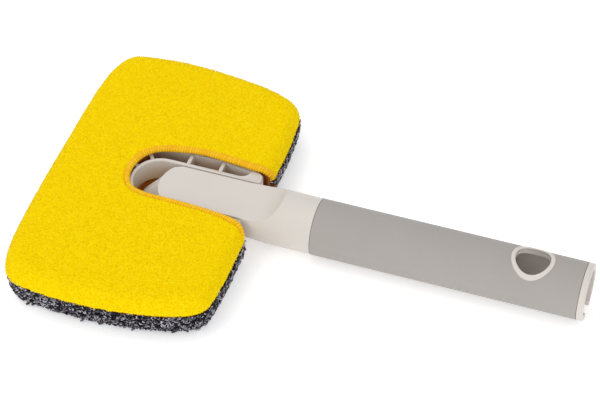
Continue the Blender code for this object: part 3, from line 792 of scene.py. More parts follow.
def swept(name: str, rings: list[list[Vector]], closed: bool) -> bpy.types.Object:
    """Join rings of points into a skin.

    Args:
        name: Name of the piece.
        rings: Rings with the same number of points, in order.
        closed: Whether the last ring joins the first one.

    Returns:
        The piece, smooth, with its normals outwards.
    """
    bm = bmesh.new()
    made = [[bm.verts.new(point) for point in ring] for ring in rings]
    count = len(made)
    for index in range(count if closed else count - 1):
        first = made[index]
        second = made[(index + 1) % count]
        size = len(first)
        for step in range(size):
            after = (step + 1) % size
            bm.faces.new((first[step], first[after], second[after], second[step]))
    if not closed:
        bm.faces.new(made[0])
        bm.faces.new(list(reversed(made[-1])))
    bmesh.ops.recalc_face_normals(bm, faces=bm.faces)
    for face in bm.faces:
        face.smooth = True
    mesh = bpy.data.meshes.new(name)
    bm.to_mesh(mesh)
    bm.free()
    return linked(name, mesh)


def baked(item: bpy.types.Object) -> bpy.types.Object:
    """Turn a piece with live modifiers into a plain mesh.

    Args:
        item: The piece.

    Returns:
        The same piece, without modifiers.
    """
    bpy.context.view_layer.update()
    graph = bpy.context.evaluated_depsgraph_get()
    mesh = bpy.data.meshes.new_from_object(item.evaluated_get(graph), depsgraph=graph)
    old = item.data
    item.modifiers.clear()
    item.data = mesh
    mesh.name = item.name
    bpy.data.meshes.remove(old)
    return item


def smooth_path(points: list[tuple], steps: int) -> list[Vector]:
    """Run a smooth curve through points.

    Args:
        points: The points, in order.
        steps: Steps between neighbours.

    Returns:
        Points along the curve.
    """
    result = []
    last = len(points) - 1
    for index in range(last):
        before = Vector(points[max(index - 1, 0)])
        start = Vector(points[index])
        end = Vector(points[index + 1])
        after = Vector(points[min(index + 2, last)])
        for step in range(steps):
            t = step / steps
            result.append((2 * start + (end - before) * t
                           + (2 * before - 5 * start + 4 * end - after) * t ** 2
                           + (3 * start - before - 3 * end + after) * t ** 3) / 2)
    result.append(Vector(points[-1]))
    return result


# Geometry Nodes


class GrowthTree:
    """A Geometry Nodes tree under construction, with named number inputs."""

    def __init__(self, name: str, inputs: dict[str, float]) -> None:
        """Make the tree.

        Args:
            name: Name of the tree.
            inputs: Default value of each number input.
        """
        self.tree = bpy.data.node_groups.new(name, "GeometryNodeTree")
        sockets = self.tree.interface
        sockets.new_socket("Geometry", in_out="INPUT", socket_type="NodeSocketGeometry")
        self.identifiers: dict[str, str] = {}
        for label, value in inputs.items():
            socket = sockets.new_socket(label, in_out="INPUT", socket_type="NodeSocketFloat")
            socket.default_value = value
            self.identifiers[label] = socket.identifier
        sockets.new_socket("Geometry", in_out="OUTPUT", socket_type="NodeSocketGeometry")
        self.entry = self.tree.nodes.new("NodeGroupInput")
        self.exit = self.tree.nodes.new("NodeGroupOutput")

    def add(self, kind: str, inputs: dict | None = None, **settings: object) -> bpy.types.Node:
        """Add a node.

        Args:
            kind: The node's type name.
            inputs: Value or socket for each of its inputs, by name or index.
            settings: Values of its properties.

        Returns:
            The new node.
        """
        node = self.tree.nodes.new(kind)
        for name, value in settings.items():
            setattr(node, name, value)
        for key, value in (inputs or {}).items():
            feed(self.tree, node.inputs[key], value)
        return node

    def given(self, label: str) -> bpy.types.NodeSocket:
        """One of the tree's own inputs."""
        return self.entry.outputs[label]

    def maths(self, operation: str, first: object, second: object = 0.0) -> bpy.types.NodeSocket:
        """Do one sum with numbers or sockets."""
        return self.add("ShaderNodeMath", {0: first, 1: second}, operation=operation).outputs[0]

    def random(self, low: object, high: object, seed: int) -> bpy.types.NodeSocket:
        """A random number for each point or instance, the same on every run.

        Args:
            low: Least value, a number or a socket.
            high: Largest value, a number or a socket.
            seed: The seed.

        Returns:
            The number's socket.
        """
        node = self.add("FunctionNodeRandomValue", {"Seed": seed}, data_type="FLOAT")
        ends = [s for s in node.inputs if s.type == "VALUE" and s.enabled]
        for socket, value in zip(ends, (low, high)):
            feed(self.tree, socket, value)
        return next(s for s in node.outputs if s.type == "VALUE" and s.enabled)

    def turned(self, rotation: bpy.types.NodeSocket, angles: dict) -> bpy.types.NodeSocket:
        """Turn a rotation further about its own axes.

        Args:
            rotation: The rotation to start from.
            angles: Angle about X, Y and Z, each a number or a socket.

        Returns:
            The new rotation.
        """
        euler = self.add("ShaderNodeCombineXYZ", angles).outputs[0]
        turn = self.add("FunctionNodeEulerToRotation", {"Euler": euler}).outputs[0]
        return self.add("FunctionNodeRotateRotation", {"Rotation": rotation, "Rotate By": turn},
                        rotation_space="LOCAL").outputs[0]

    def shaded(self, instances: bpy.types.NodeSocket, darkest: float,
               seed: int) -> bpy.types.NodeSocket:
        """Give each instance its own value named shade, which its material reads.

        Args:
            instances: The instances.
            darkest: Least value; the largest is 1.
            seed: The seed.

        Returns:
            The instances with their values.
        """
        kept = self.add("GeometryNodeStoreNamedAttribute",
                        {"Geometry": instances, "Name": "shade",
                         "Value": self.random(darkest, 1.0, seed)},
                        data_type="FLOAT", domain="INSTANCE")
        return kept.outputs["Geometry"]

    def finish(self, geometry: bpy.types.NodeSocket, look: bpy.types.Material) -> None:
        """End the tree: make the instances real and give them their material.

        Args:
            geometry: What the tree has made.
            look: Its material.
        """
        real = self.add("GeometryNodeRealizeInstances", {"Geometry": geometry})
        last = self.add("GeometryNodeSetMaterial",
                        {"Geometry": real.outputs["Geometry"], "Material": look})
        self.tree.links.new(last.outputs["Geometry"], self.exit.inputs[0])

    def grow(self, source: bpy.types.Object, name: str,
             values: dict[str, float]) -> bpy.types.Object:
        """Run the tree on a piece and keep what it makes as a plain mesh.

        Args:
            source: The piece that the tree starts from.
            name: Name of the new piece.
            values: Value of each named input.

        Returns:
            The new piece.
        """
        modifier = source.modifiers.new(name, "NODES")
        modifier.node_group = self.tree
        for label, value in values.items():
            modifier[self.identifiers[label]] = value
        bpy.context.view_layer.update()
        graph = bpy.context.evaluated_depsgraph_get()
        mesh = bpy.data.meshes.new_from_object(source.evaluated_get(graph), depsgraph=graph)
        source.modifiers.remove(modifier)
        mesh.name = name
        return linked(name, mesh)


def scattered(tree: GrowthTree, instance: bpy.types.NodeSocket, seed: int,
              lean: float) -> bpy.types.NodeSocket:
    """Scatter a shape over the tree's surface, each one turned by chance.

    Args:
        tree: The tree, with inputs Pitch, Smallest and Largest.
        instance: The shape's geometry.
        seed: First of the six seeds that it uses.
        lean: Largest lean off the surface's normal, in radians.

    Returns:
        The instances, each with its own value named shade.
    """
    spots = tree.add("GeometryNodeDistributePointsOnFaces",
                     {"Mesh": tree.entry.outputs["Geometry"], "Distance Min": tree.given("Pitch"),
                      "Density Max": SCATTER_LIMIT, "Seed": seed}, distribute_method="POISSON")
    turned = tree.turned(spots.outputs["Rotation"], {"X": tree.random(-lean, lean, seed + 1),
                                                     "Y": tree.random(-lean, lean, seed + 2),
                                                     "Z": tree.random(0.0, math.tau, seed + 3)})
    size = tree.random(tree.given("Smallest"), tree.given("Largest"), seed + 4)
    placed = tree.add("GeometryNodeInstanceOnPoints",
                      {"Points": spots.outputs["Points"], "Instance": instance,
                       "Rotation": turned, "Scale": size})
    return tree.shaded(placed.outputs["Instances"], 0.0, seed + 5)


def loop_tree(look: bpy.types.Material) -> GrowthTree:
    """Tree that covers a surface with small upright yarn loops.

    Args:
        look: The loops' material.

    Returns:
        The tree.
    """
    tree = GrowthTree("cloth_loops", {"Pitch": 0.0015, "Smallest": 0.8, "Largest": 1.2,
                                      "Loop Radius": 0.0005, "Yarn Radius": 0.00018})
    bow = tree.add("GeometryNodeCurveArc", {"Resolution": 4, "Radius": tree.given("Loop Radius"),
                                            "Start Angle": math.radians(-20),
                                            "Sweep Angle": math.radians(220)})
    yarn = tree.add("GeometryNodeCurvePrimitiveCircle",
                    {"Resolution": 3, "Radius": tree.given("Yarn Radius")})
    body = tree.add("GeometryNodeCurveToMesh", {"Curve": bow.outputs["Curve"],
                                                "Profile Curve": yarn.outputs["Curve"]})
    upright = tree.add("GeometryNodeTransform", {"Geometry": body.outputs["Mesh"],
                                                 "Rotation": (math.pi / 2, 0.0, 0.0)})
    tree.finish(scattered(tree, upright.outputs["Geometry"], seed=LOOP_SEED, lean=0.5), look)
    return tree


def strand_tree(look: bpy.types.Material) -> GrowthTree:
    """Tree that covers a surface with short fat chenille strands, each one bent.

    Args:
        look: The strands' material.

    Returns:
        The tree.
    """
    tree = GrowthTree("chenille_strands", {"Pitch": 0.0022, "Smallest": 0.75, "Largest": 1.2,
                                           "Strand Length": 0.0046, "Strand Radius": 0.0009})
    length = tree.given("Strand Length")
    aside = tree.maths("MULTIPLY", length, 0.3)
    middle = tree.add("ShaderNodeCombineXYZ", {"X": aside,
                                               "Z": tree.maths("MULTIPLY", length, 0.42)})
    end = tree.add("ShaderNodeCombineXYZ", {"X": length, "Y": aside})
    bend = tree.add("GeometryNodeCurveQuadraticBezier",
                    {"Resolution": 3, "Start": (0.0, 0.0, 0.0), "Middle": middle.outputs[0],
                     "End": end.outputs[0]})
    along = tree.add("GeometryNodeSplineParameter").outputs["Factor"]
    arch = tree.add("ShaderNodeMath", {0: along, 1: math.pi * 0.86, 2: math.pi * 0.07},
                    operation="MULTIPLY_ADD")
    shaped = tree.add("GeometryNodeSetCurveRadius",
                      {"Curve": bend.outputs["Curve"],
                       "Radius": tree.maths("SINE", arch.outputs[0])})
    profile = tree.add("GeometryNodeCurvePrimitiveCircle",
                       {"Resolution": 4, "Radius": tree.given("Strand Radius")})
    body = tree.add("GeometryNodeCurveToMesh", {"Curve": shaped.outputs["Curve"],
                                                "Profile Curve": profile.outputs["Curve"],
                                                "Fill Caps": True})
    smooth = tree.add("GeometryNodeSetShadeSmooth", {"Geometry": body.outputs["Mesh"]})
    tree.finish(scattered(tree, smooth.outputs[0], seed=STRAND_SEED, lean=0.30), look)
    return tree


def overlock_tree(look: bpy.types.Material) -> GrowthTree:
    """Tree that wraps slanted stitches round a path, as wide as its "wide" values say.

    Args:
        look: The thread's material.

    Returns:
        The tree.
    """
    tree = GrowthTree("overlock_stitches", {"Stitch Pitch": 0.0008, "Band Width": 0.0022,
                                            "Band Height": 0.0017, "Thread Radius": 0.0004,
                                            "Slant": 0.14})
    curve = tree.add("GeometryNodeMeshToCurve", {"Mesh": tree.entry.outputs["Geometry"]})
    spaced = tree.add("GeometryNodeResampleCurve",
                      {"Curve": curve.outputs["Curve"], "Length": tree.given("Stitch Pitch")},
                      mode="LENGTH")
    tangent = tree.add("GeometryNodeInputTangent").outputs[0]
    across = tree.add("ShaderNodeVectorMath", {0: tangent, 1: (0.0, 0.0, 1.0)},
                      operation="CROSS_PRODUCT").outputs[0]
    facing = tree.add("FunctionNodeAlignRotationToVector", {"Vector": tangent}, axis="Z")
    level = tree.add("FunctionNodeAlignRotationToVector",
                     {"Rotation": facing.outputs[0], "Vector": across}, axis="X", pivot_axis="Z")
    size = tree.add("ShaderNodeCombineXYZ", {"X": tree.given("Band Width"),
                                             "Y": tree.given("Band Height"), "Z": 1.0})
    ring = tree.add("GeometryNodeCurvePrimitiveCircle", {"Resolution": 14, "Radius": 1.0})
    wrap = tree.add("GeometryNodeTransform", {"Geometry": ring.outputs["Curve"],
                                              "Scale": size.outputs[0]})
    thread = tree.add("GeometryNodeCurvePrimitiveCircle",
                      {"Resolution": 5, "Radius": tree.given("Thread Radius")})
    stitch = tree.add("GeometryNodeCurveToMesh", {"Curve": wrap.outputs["Geometry"],
                                                  "Profile Curve": thread.outputs["Curve"]})
    turned = tree.turned(level.outputs[0], {"X": tree.random(-0.05, 0.05, STITCH_SEED),
                                            "Y": tree.given("Slant"),
                                            "Z": tree.random(-0.06, 0.06, STITCH_SEED + 1)})
    wide = tree.add("GeometryNodeInputNamedAttribute", {"Name": "wide"}, data_type="FLOAT")
    width = tree.maths("MULTIPLY", wide.outputs["Attribute"],
                       tree.random(0.98, 1.05, STITCH_SEED + 2))
    grown = tree.add("ShaderNodeCombineXYZ", {"X": width, "Y": 1.0, "Z": 1.0})
    placed = tree.add("GeometryNodeInstanceOnPoints",
                      {"Points": spaced.outputs["Curve"], "Instance": stitch.outputs["Mesh"],
                       "Rotation": turned, "Scale": grown.outputs[0]})
    shaded = tree.shaded(placed.outputs["Instances"], 0.35, STITCH_SEED + 3)
    smooth = tree.add("GeometryNodeSetShadeSmooth", {"Geometry": shaded})
    tree.finish(smooth.outputs[0], look)
    return tree


# Sub-assemblies


@dataclass
class Handle:
    """Moulded handle core with its grip, hole collar and end rim."""

    grip_radius: float = SHAFT_RADIUS
    bore_radius: float = 0.0132
    hole_x: float = 0.1265
    hole_radius: float = 0.0100
    collar_wall: float = 0.0020
    collar_proud: float = 0.00045
    collar_round: float = 0.00045
    collar_spread: float = 0.0004
    collar_steps: int = 112
    corner_steps: int = 4
    inner_foot: float = 0.0013
    outer_foot: float = 0.0006
    end_x: float = 0.1598
    rim_round: float = 0.0009
    rim_steps: int = 4
    crease: float = 33.0

    def rounds(self) -> tuple[Round, ...]:
        """Round surfaces of the core and the grip.

        Returns:
            The shaft, the bore and the collar's two sides.
        """
        axis = (0.0, 0.0, AXIS_Z)
        hole = (self.hole_x, 0.0, 0.0)
        return (
            Round(axis, 0, self.grip_radius),
            Round(axis, 0, self.bore_radius),
            Round(hole, 2, self.hole_radius),
            Round(hole, 2, self.hole_radius + self.collar_wall),
        )

    def build_core(self, frame: dict, look: bpy.types.Material) -> bpy.types.Object:
        """Build the core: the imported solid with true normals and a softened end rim.

        Args:
            look: The core's material.

        Returns:
            The core.
        """
        core = merged_copy(frame["nodes"]["handle_core"], "handle_core_moulding")
        with editing(core.data) as bm:
            round_edges(bm, 0, self.end_x, self.rim_round, self.rim_steps)
        shade_true(core, self.rounds(), self.crease)
        return fitted(dressed(core, look), Body.HANDLE, "handle_core")

    def build_grip(self, frame: dict, look: bpy.types.Material) -> bpy.types.Object:
        """Build the grip sleeve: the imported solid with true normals.

        Args:
            look: The sleeve's material.

        Returns:
            The sleeve.
        """
        grip = merged_copy(frame["nodes"]["grip_sleeve"], "grip_sleeve_skin")
        shade_true(grip, self.rounds(), self.crease)
        return fitted(dressed(grip, look), Body.HANDLE, "grip_sleeve")

    def collar_profile(self, half: float) -> list[tuple[float, float]]:
        """Section of the collar's lip.

        Args:
            half: Half of its width.

        Returns:
            Place across and height of each point, from the hole's side outwards.
        """
        corner = self.collar_round
        profile = [(-half, -self.inner_foot)]
        for side, start in ((-1, 0.0), (1, math.pi / 2)):
            for step in range(self.corner_steps + 1):
                angle = start + math.pi / 2 * step / self.corner_steps
                profile.append((side * (half - corner) - corner * math.cos(angle),
                                self.collar_proud - corner + corner * math.sin(angle)))
        profile.append((half, -self.outer_foot))
        return profile

    def build_collar(self, look: bpy.types.Material) -> bpy.types.Object:
        """Build the collar's rounded lip, which follows the shaft's curve round the hole.

        Args:
            look: The lip's material.

        Returns:
            The lip.
        """
        half = (self.collar_wall + self.collar_spread) / 2
        middle = self.hole_radius + half - self.collar_spread / 4
        rings = []
        for step in range(self.collar_steps):
            angle = math.tau * step / self.collar_steps
            ring = []
            for across, up in self.collar_profile(half):
                x = self.hole_x + (middle + across) * math.cos(angle)
                y = (middle + across) * math.sin(angle)
                rise = math.sqrt(self.grip_radius ** 2 - y ** 2)
                out = Vector((0.0, y, rise)) / self.grip_radius
                way = Vector((0.0, 0.0, 1.0)).lerp(out, (across + half) / (2 * half))
                ring.append(Vector((x, y, AXIS_Z + rise)) + way * up)
            rings.append(ring)
        lip = dressed(swept("hanging_hole_lip", rings, True), look)
        return fitted(lip, Body.HANDLE)

    def build(self, frame: dict, looks: Finishes) -> list[bpy.types.Object]:
        """Build and dress the handle.

        Args:
            looks: The finishes.

        Returns:
            The handle's pieces.
        """
        return [self.build_core(frame, looks.cream), self.build_grip(frame, looks.grip),
                self.build_collar(looks.cream)]


@dataclass
class HeadFrame:
    """Ribbed frame of the head, with the hinge pin and its washers."""

    crease: float = 50.0
    top_z: float = 0.0240
    edge_round: float = 0.00045
    edge_steps: int = 3
    top_band: float = 0.000675
    end_start_x: float = -0.0424
    end_round: float = 0.0040

    def soften_tops(self, moulding: bpy.types.Object) -> None:
        """Round the upper edges of the walls and ribs, and the frame's rear ends down.

        Args:
            moulding: The frame.
        """
        with editing(moulding.data) as bm:
            round_edges(bm, 2, self.top_z, self.edge_round, self.edge_steps)
            for vert in bm.verts:
                reach = min(max(vert.co.x - self.end_start_x, 0.0), self.end_round)
                if vert.co.z > self.top_z - self.top_band:
                    vert.co.z -= self.end_round - math.sqrt(self.end_round ** 2 - reach ** 2)

    def build(self, frame: dict, looks: Finishes) -> list[bpy.types.Object]:
        """Dress the frame and the hinge.

        Args:
            looks: The finishes.

        Returns:
            The head frame's pieces.
        """
        moulding = merged_copy(frame["nodes"]["head_frame"], "head_frame_moulding")
        self.soften_tops(moulding)
        shade_true(moulding, (), self.crease)
        pieces = [fitted(dressed(moulding, looks.frame), Body.HEAD, "head_frame")]
        for node, look in (("pivot_pin", looks.pin), ("friction_washer_left", looks.washer),
                           ("friction_washer_right", looks.washer)):
            pieces.append(dressed(frame["nodes"][node], look))
        return pieces


@dataclass
class CoverHalf:
    """One cloth face of the cover: its body, its surface yarn and its lining.

    The sizes named share are limits on a part of a face's normal.
    """

    side: Side
    voxel: float = 0.0008
    quick_voxel: float = 0.00128
    smooth_rounds: int = 3
    sag_pitch: float = 0.040
    sag: float = 0.00035
    nap_pitch: float = 0.0013
    nap: float = 0.00022
    shrink: float = 0.0
    notch_front_x: float = -0.1180
    notch_rear_x: float = -0.0385
    notch_half_width: float = 0.0310
    notch_edge_z: float = 0.0255
    seam_reach: float = 0.0012
    cavity_slack: float = 0.0004
    flat_share: float = 0.5
    wall_share: float = 0.7
    lip_share: float = 0.85
    rim_share: float = 0.3
    seam_share: float = 0.6

    @property
    def label(self) -> str:
        """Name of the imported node."""
        return "scrub_cover" if self.side is Side.SCRUB else "chenille_cover"

    def is_lining(self, spot: Vector, facing: Vector) -> bool:
        """Whether a face belongs to the cover's inside.

        Args:
            spot: The face's centre.
            facing: The face's normal.

        Returns:
            True on the lining.
        """
        low, high = CAVITY_FLOOR_Z - self.cavity_slack, CAVITY_TOP_Z + self.cavity_slack
        flange = abs(spot.z - SEAM_Z) < self.seam_reach and abs(facing.z) > self.flat_share
        if flange or not low < spot.z < high:
            return False
        if facing.z * self.side.value < -self.flat_share:
            return True
        inward = (spot.x - HEAD_CENTRE[0]) * facing.x + (spot.y - HEAD_CENTRE[1]) * facing.y
        return abs(facing.z) < self.wall_share and inward < 0

    def in_opening(self, spot: Vector, facing: Vector) -> bool:
        """Whether a face belongs to the wall of the half's own opening.

        Args:
            spot: The face's centre.
            facing: The face's normal.

        Returns:
            True on the wall, where no yarn grows.
        """
        within = spot.x > self.notch_front_x and abs(spot.y) < self.notch_half_width
        deeper = (spot.z - self.notch_edge_z) * self.side.value < 0
        inwards = facing.z * self.side.value < self.lip_share
        rim = facing.x > self.rim_share and spot.x > self.notch_rear_x
        return within and deeper and inwards and not rim

    def bare(self, spot: Vector, facing: Vector) -> bool:
        """Whether a face is lining or opening wall, which has no nap and no yarn."""
        return self.is_lining(spot, facing) or self.in_opening(spot, facing)

    def nap_height(self, spot: Vector, facing: Vector) -> float:
        """How far a point of the outside moves along its normal.

        Args:
            spot: The point.
            facing: Its normal.

        Returns:
            The distance, less than 0 where it goes inwards.
        """
        height = self.sag * noise.noise(spot / self.sag_pitch)
        height -= self.shrink * min(max(1.0 - facing.x, 0.0), 1.0)
        return height + self.nap * noise.noise(spot / self.nap_pitch)

    def build_body(self, frame: dict, outer: bpy.types.Material,
                   lining: bpy.types.Material) -> bpy.types.Object:
        """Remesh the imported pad, give it sag and nap, and line its inside.

        Args:
            outer: Material of the outside.
            lining: Material of the lining and the opening's wall.

        Returns:
            The cloth body, which stands on the floor at its lowest.
        """
        body = merged_copy(frame["nodes"][self.label], self.label + "_cloth")
        remesh = body.modifiers.new("even mesh", "REMESH")
        remesh.mode = "VOXEL"
        remesh.voxel_size = self.voxel
        relax = body.modifiers.new("soften", "SMOOTH")
        relax.iterations = self.smooth_rounds
        relax.factor = 0.5
        baked(body)
        dressed(body, outer, lining)
        with editing(body.data) as bm:
            bm.normal_update()
            moves = []
            for vert in bm.verts:
                inner = self.bare(vert.co, vert.normal)
                height = 0.0 if inner else self.nap_height(vert.co, vert.normal)
                moves.append(vert.co + vert.normal * height)
            for vert, move in zip(bm.verts, moves):
                vert.co = (move.x, move.y, max(move.z, 0.0))
            for face in bm.faces:
                face.smooth = True
                face.material_index = int(self.bare(face.calc_center_median(), face.normal))
        return body

    def outside(self, body: bpy.types.Object, tilt: tuple[float, float]) -> bpy.types.Object:
        """Copy the outer faces of the body that face within a range, as ground for its yarn.

        Args:
            body: The cloth body.
            tilt: Least and most share of the normal that points the way the half faces.

        Returns:
            The open ground mesh, to be removed after use.
        """
        sign = self.side.value
        mesh = bpy.data.meshes.new(body.name + "_ground")
        with editing(body.data, mesh) as bm:
            left_out = [face for face in bm.faces
                        if face.material_index == 1 or self.hidden(face)
                        or not tilt[0] <= face.normal.z * sign <= tilt[1]]
            bmesh.ops.delete(bm, geom=left_out, context="FACES")
        return linked(mesh.name, mesh)

    def hidden(self, face: bmesh.types.BMFace) -> bool:
        """Whether a face lies on the seam, between the two halves."""
        flat = face.normal.z * self.side.value < -self.seam_share
        return flat and abs(face.calc_center_median().z - SEAM_Z) < self.seam_reach

    def grown(self, tree: GrowthTree, body: bpy.types.Object, name: str,
              tilt: tuple[float, float], values: dict[str, float]) -> bpy.types.Object:
        """Grow yarn on part of the body's outside.

        Args:
            tree: The yarn's tree.
            body: The cloth body.
            name: Name of the new piece.
            tilt: Which faces get yarn, as for outside().
            values: Value of each of the tree's inputs.

        Returns:
            The yarn.
        """
        ground = self.outside(body, tilt)
        yarn = tree.grow(ground, name, values)
        bpy.data.objects.remove(ground)
        return yarn


@dataclass
class ScrubCover(CoverHalf):
    """Upper, scouring face."""

    side: Side = Side.SCRUB
    loop_pitch: float = 0.00124
    loop_radius: float = 0.00038
    yarn_radius: float = 0.00015
    quick_factor: float = 2.0

    def build(self, frame: dict, looks: Finishes) -> list[bpy.types.Object]:
        """Build and dress the scouring face.

        Args:
            looks: The finishes.

        Returns:
            The face's pieces.
        """
        body = self.build_body(frame, looks.scouring, looks.lining)
        pitch = self.loop_pitch * 1.0
        loops = self.grown(loop_tree(looks.scouring), body, "scrub_cover_loops", (-1.0, 1.0),
                           {"Pitch": pitch, "Smallest": 0.75, "Largest": 1.25,
                            "Loop Radius": self.loop_radius, "Yarn Radius": self.yarn_radius})
        fitted(body, Body.HEAD, self.label)
        fitted(loops, Body.HEAD)
        return [body, loops]


@dataclass
class ChenilleCover(CoverHalf):
    """Lower, chenille face."""

    side: Side = Side.CHENILLE
    shrink: float = 0.0013
    notch_edge_z: float = 0.0055
    sole_pitch: float = 0.0020
    sole_length: float = 0.0030
    sole_radius: float = 0.0008
    fringe_pitch: float = 0.00097
    fringe_length: float = 0.0016
    fringe_radius: float = 0.00036
    turn: float = 0.98
    quick_factor: float = 1.6

    def build(self, frame: dict, looks: Finishes) -> list[bpy.types.Object]:
        """Build and dress the chenille face.

        Args:
            looks: The finishes.

        Returns:
            The face's pieces.
        """
        body = self.build_body(frame, looks.chenille, looks.lining)
        tree = strand_tree(looks.yarn)
        sole = self.build_strands(tree, body, "chenille_cover_strands", (self.turn, 1.0),
                                  (self.sole_pitch, self.sole_length, self.sole_radius))
        fringe = self.build_strands(tree, body, "chenille_cover_fringe", (-1.0, self.turn),
                                    (self.fringe_pitch, self.fringe_length, self.fringe_radius))
        fitted(body, Body.HEAD, self.label)
        fitted(sole, Body.HEAD)
        fitted(fringe, Body.HEAD)
        return [body, sole, fringe]

    def build_strands(self, tree: GrowthTree, body: bpy.types.Object, name: str,
                      tilt: tuple[float, float],
                      sizes: tuple[float, float, float]) -> bpy.types.Object:
        """Cover part of the body with strands, and press them flat where the face stands.

        Args:
            tree: The strands' tree.
            body: The cloth body.
            name: Name of the new piece.
            tilt: Which faces get strands, as for outside().
            sizes: Pitch, length and radius of the strands.

        Returns:
            The strands.
        """
        pitch, length, radius = sizes
        pitch *= 1.0
        strands = self.grown(tree, body, name, tilt,
                             {"Pitch": pitch, "Smallest": 0.7, "Largest": 1.15,
                              "Strand Length": length, "Strand Radius": radius})
        spots = np.zeros(len(strands.data.vertices) * 3, np.float32)
        strands.data.vertices.foreach_get("co", spots)
        spots[2::3] = np.maximum(spots[2::3], 0.0)
        strands.data.vertices.foreach_set("co", spots)
        strands.data.update()
        return strands


@dataclass
class Binding:
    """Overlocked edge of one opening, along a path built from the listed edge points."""

    side: Side
    opening_depth: float = 0.0781
    opening_half_width: float = 0.0248
    cord_radius: float = 0.0017
    half_width: float = 0.0022
    half_height: float = 0.0017
    overlap: float = 0.0006
    near_share: float = 0.78
    side_change_y: float = 0.0100
    path_steps: int = 8
    slant: float = 0.22
    offset_z: float = 0.0096
    seat_gap: float = 0.0003
    seam_above_axis: float = 0.0009
    round_in: float = 0.0079
    under_round_in: float = 0.0045
    coaming_x: float = -0.0950
    hairpin_length: float = 0.0088
    under_half_width: float = 0.0158
    under_flare: float = 0.0022
    under_front: float = 0.0110
    stitch_pitch: float = 0.0016
    thread_radius: float = 0.00052
    stand_off: float = 0.00012
    ring_steps: int = 20
    front_steps: int = 6
    far_edge: tuple = ((1.000, 0.020), (0.989, 0.310), (0.950, 0.580), (0.872, 0.786),
                       (0.729, 0.919), (0.556, 1.000), (0.312, 0.956), (0.150, 0.905),
                       (0.040, 0.920), (0.003, 1.000))
    near_edge: tuple = ((0.990, 0.200), (0.957, 0.405), (0.904, 0.535), (0.810, 0.600),
                        (0.707, 0.605), (0.490, 0.620), (0.282, 0.668), (0.150, 0.725),
                        (0.045, 0.830), (0.004, 0.965))

    @property
    def label(self) -> str:
        """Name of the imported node."""
        return "scrub_opening_binding" if self.side is Side.SCRUB else "chenille_opening_binding"

    def at(self, share: tuple[float, float], sign: int) -> tuple[float, float]:
        """Plan point from shares of the opening's depth and half width."""
        return (HEAD_REAR_X - share[0] * self.opening_depth,
                sign * share[1] * self.opening_half_width)

    def edge(self) -> list[tuple[float, float]]:
        """Inner edge of the opening.

        Returns:
            Its plan points, from +Y to -Y.
        """
        far = [self.at(share, 1) for share in self.far_edge]
        near = [self.at(share, -1) for share in self.near_edge]
        if self.side is Side.SCRUB:
            return far[::-1] + near
        half = self.under_half_width
        rear = far[-1][0] - self.hairpin_length
        front = []
        for step in range(self.front_steps + 1):
            angle = math.pi / 2 + math.pi * step / self.front_steps
            front.append((self.coaming_x + math.cos(angle) * self.under_front,
                          half * math.sin(angle)))
        left = [(rear, half + self.under_flare), ((self.coaming_x + rear) / 2, half)]
        right = [(x, -y) for x, y in reversed(left)]
        return far[:-3:-1] + left + front + right + near[-2:]

    def rise(self, x: float) -> float:
        """Height of the centre line off the seam, which rounds down to it at the rear rim.

        Args:
            x: Place on the length.

        Returns:
            The height.
        """
        full = self.offset_z - self.side.value * self.seam_above_axis
        reach = self.round_in if self.side is Side.SCRUB else self.under_round_in
        from_rim = min(max(HEAD_REAR_X - x, 0.0), reach)
        share = (reach - from_rim) / (reach - self.cord_radius / 2)
        return max(full * math.sqrt(max(1 - share * share, 0.0)), self.cord_radius + self.seat_gap)

    def path(self) -> list[Vector]:
        """Centre line of the binding.

        Returns:
            Its points, down to the seam at both ends.
        """
        edge = self.edge()
        last = len(edge) - 1
        plan = []
        for index, spot in enumerate(edge):
            before = edge[max(index - 1, 0)]
            after = edge[min(index + 1, last)]
            run = Vector((after[0] - before[0], after[1] - before[1])).normalized()
            plan.append((spot[0] + run.y * self.cord_radius, spot[1] - run.x * self.cord_radius,
                         0.0))
        return [Vector((spot.x, spot.y, SEAM_Z + self.side.value * self.rise(spot.x)))
                for spot in smooth_path(plan, self.path_steps)]

    def width_share(self, spot: Vector) -> float:
        """Share of the full width: the near side's cloth rides over its binding."""
        far = min(max(0.5 + spot.y / (2 * self.side_change_y), 0.0), 1.0)
        return self.near_share + (1 - self.near_share) * far

    def spread_path(self, path: list[Vector]) -> list[tuple[Vector, Vector, Vector, float]]:
        """Lay the flattened cord's section along the centre line.

        Args:
            path: The centre line.

        Returns:
            Centre, sideways way, upward way and width share at each step.
        """
        last = len(path) - 1
        result = []
        for index, spot in enumerate(path):
            run = (path[min(index + 1, last)] - path[max(index - 1, 0)]).normalized()
            across = run.cross(Vector((0.0, 0.0, 1.0))).normalized()
            share = self.width_share(spot)
            shift = self.overlap - (1 - share) * self.half_width
            result.append((spot + across * max(shift, 0.0), across, across.cross(run), share))
        return result

    def build_cord(self, path: list[tuple[Vector, Vector, Vector, float]]) -> bpy.types.Object:
        """Build the flattened cord under the stitches.

        Args:
            path: What spread_path() returned.

        Returns:
            The cord.
        """
        turns = [math.tau * step / self.ring_steps for step in range(self.ring_steps)]
        rings = [[spot + across * self.half_width * share * math.cos(angle)
                  + up * self.half_height * math.sin(angle) for angle in turns]
                 for spot, across, up, share in path]
        return swept(self.label + "_cord", rings, False)

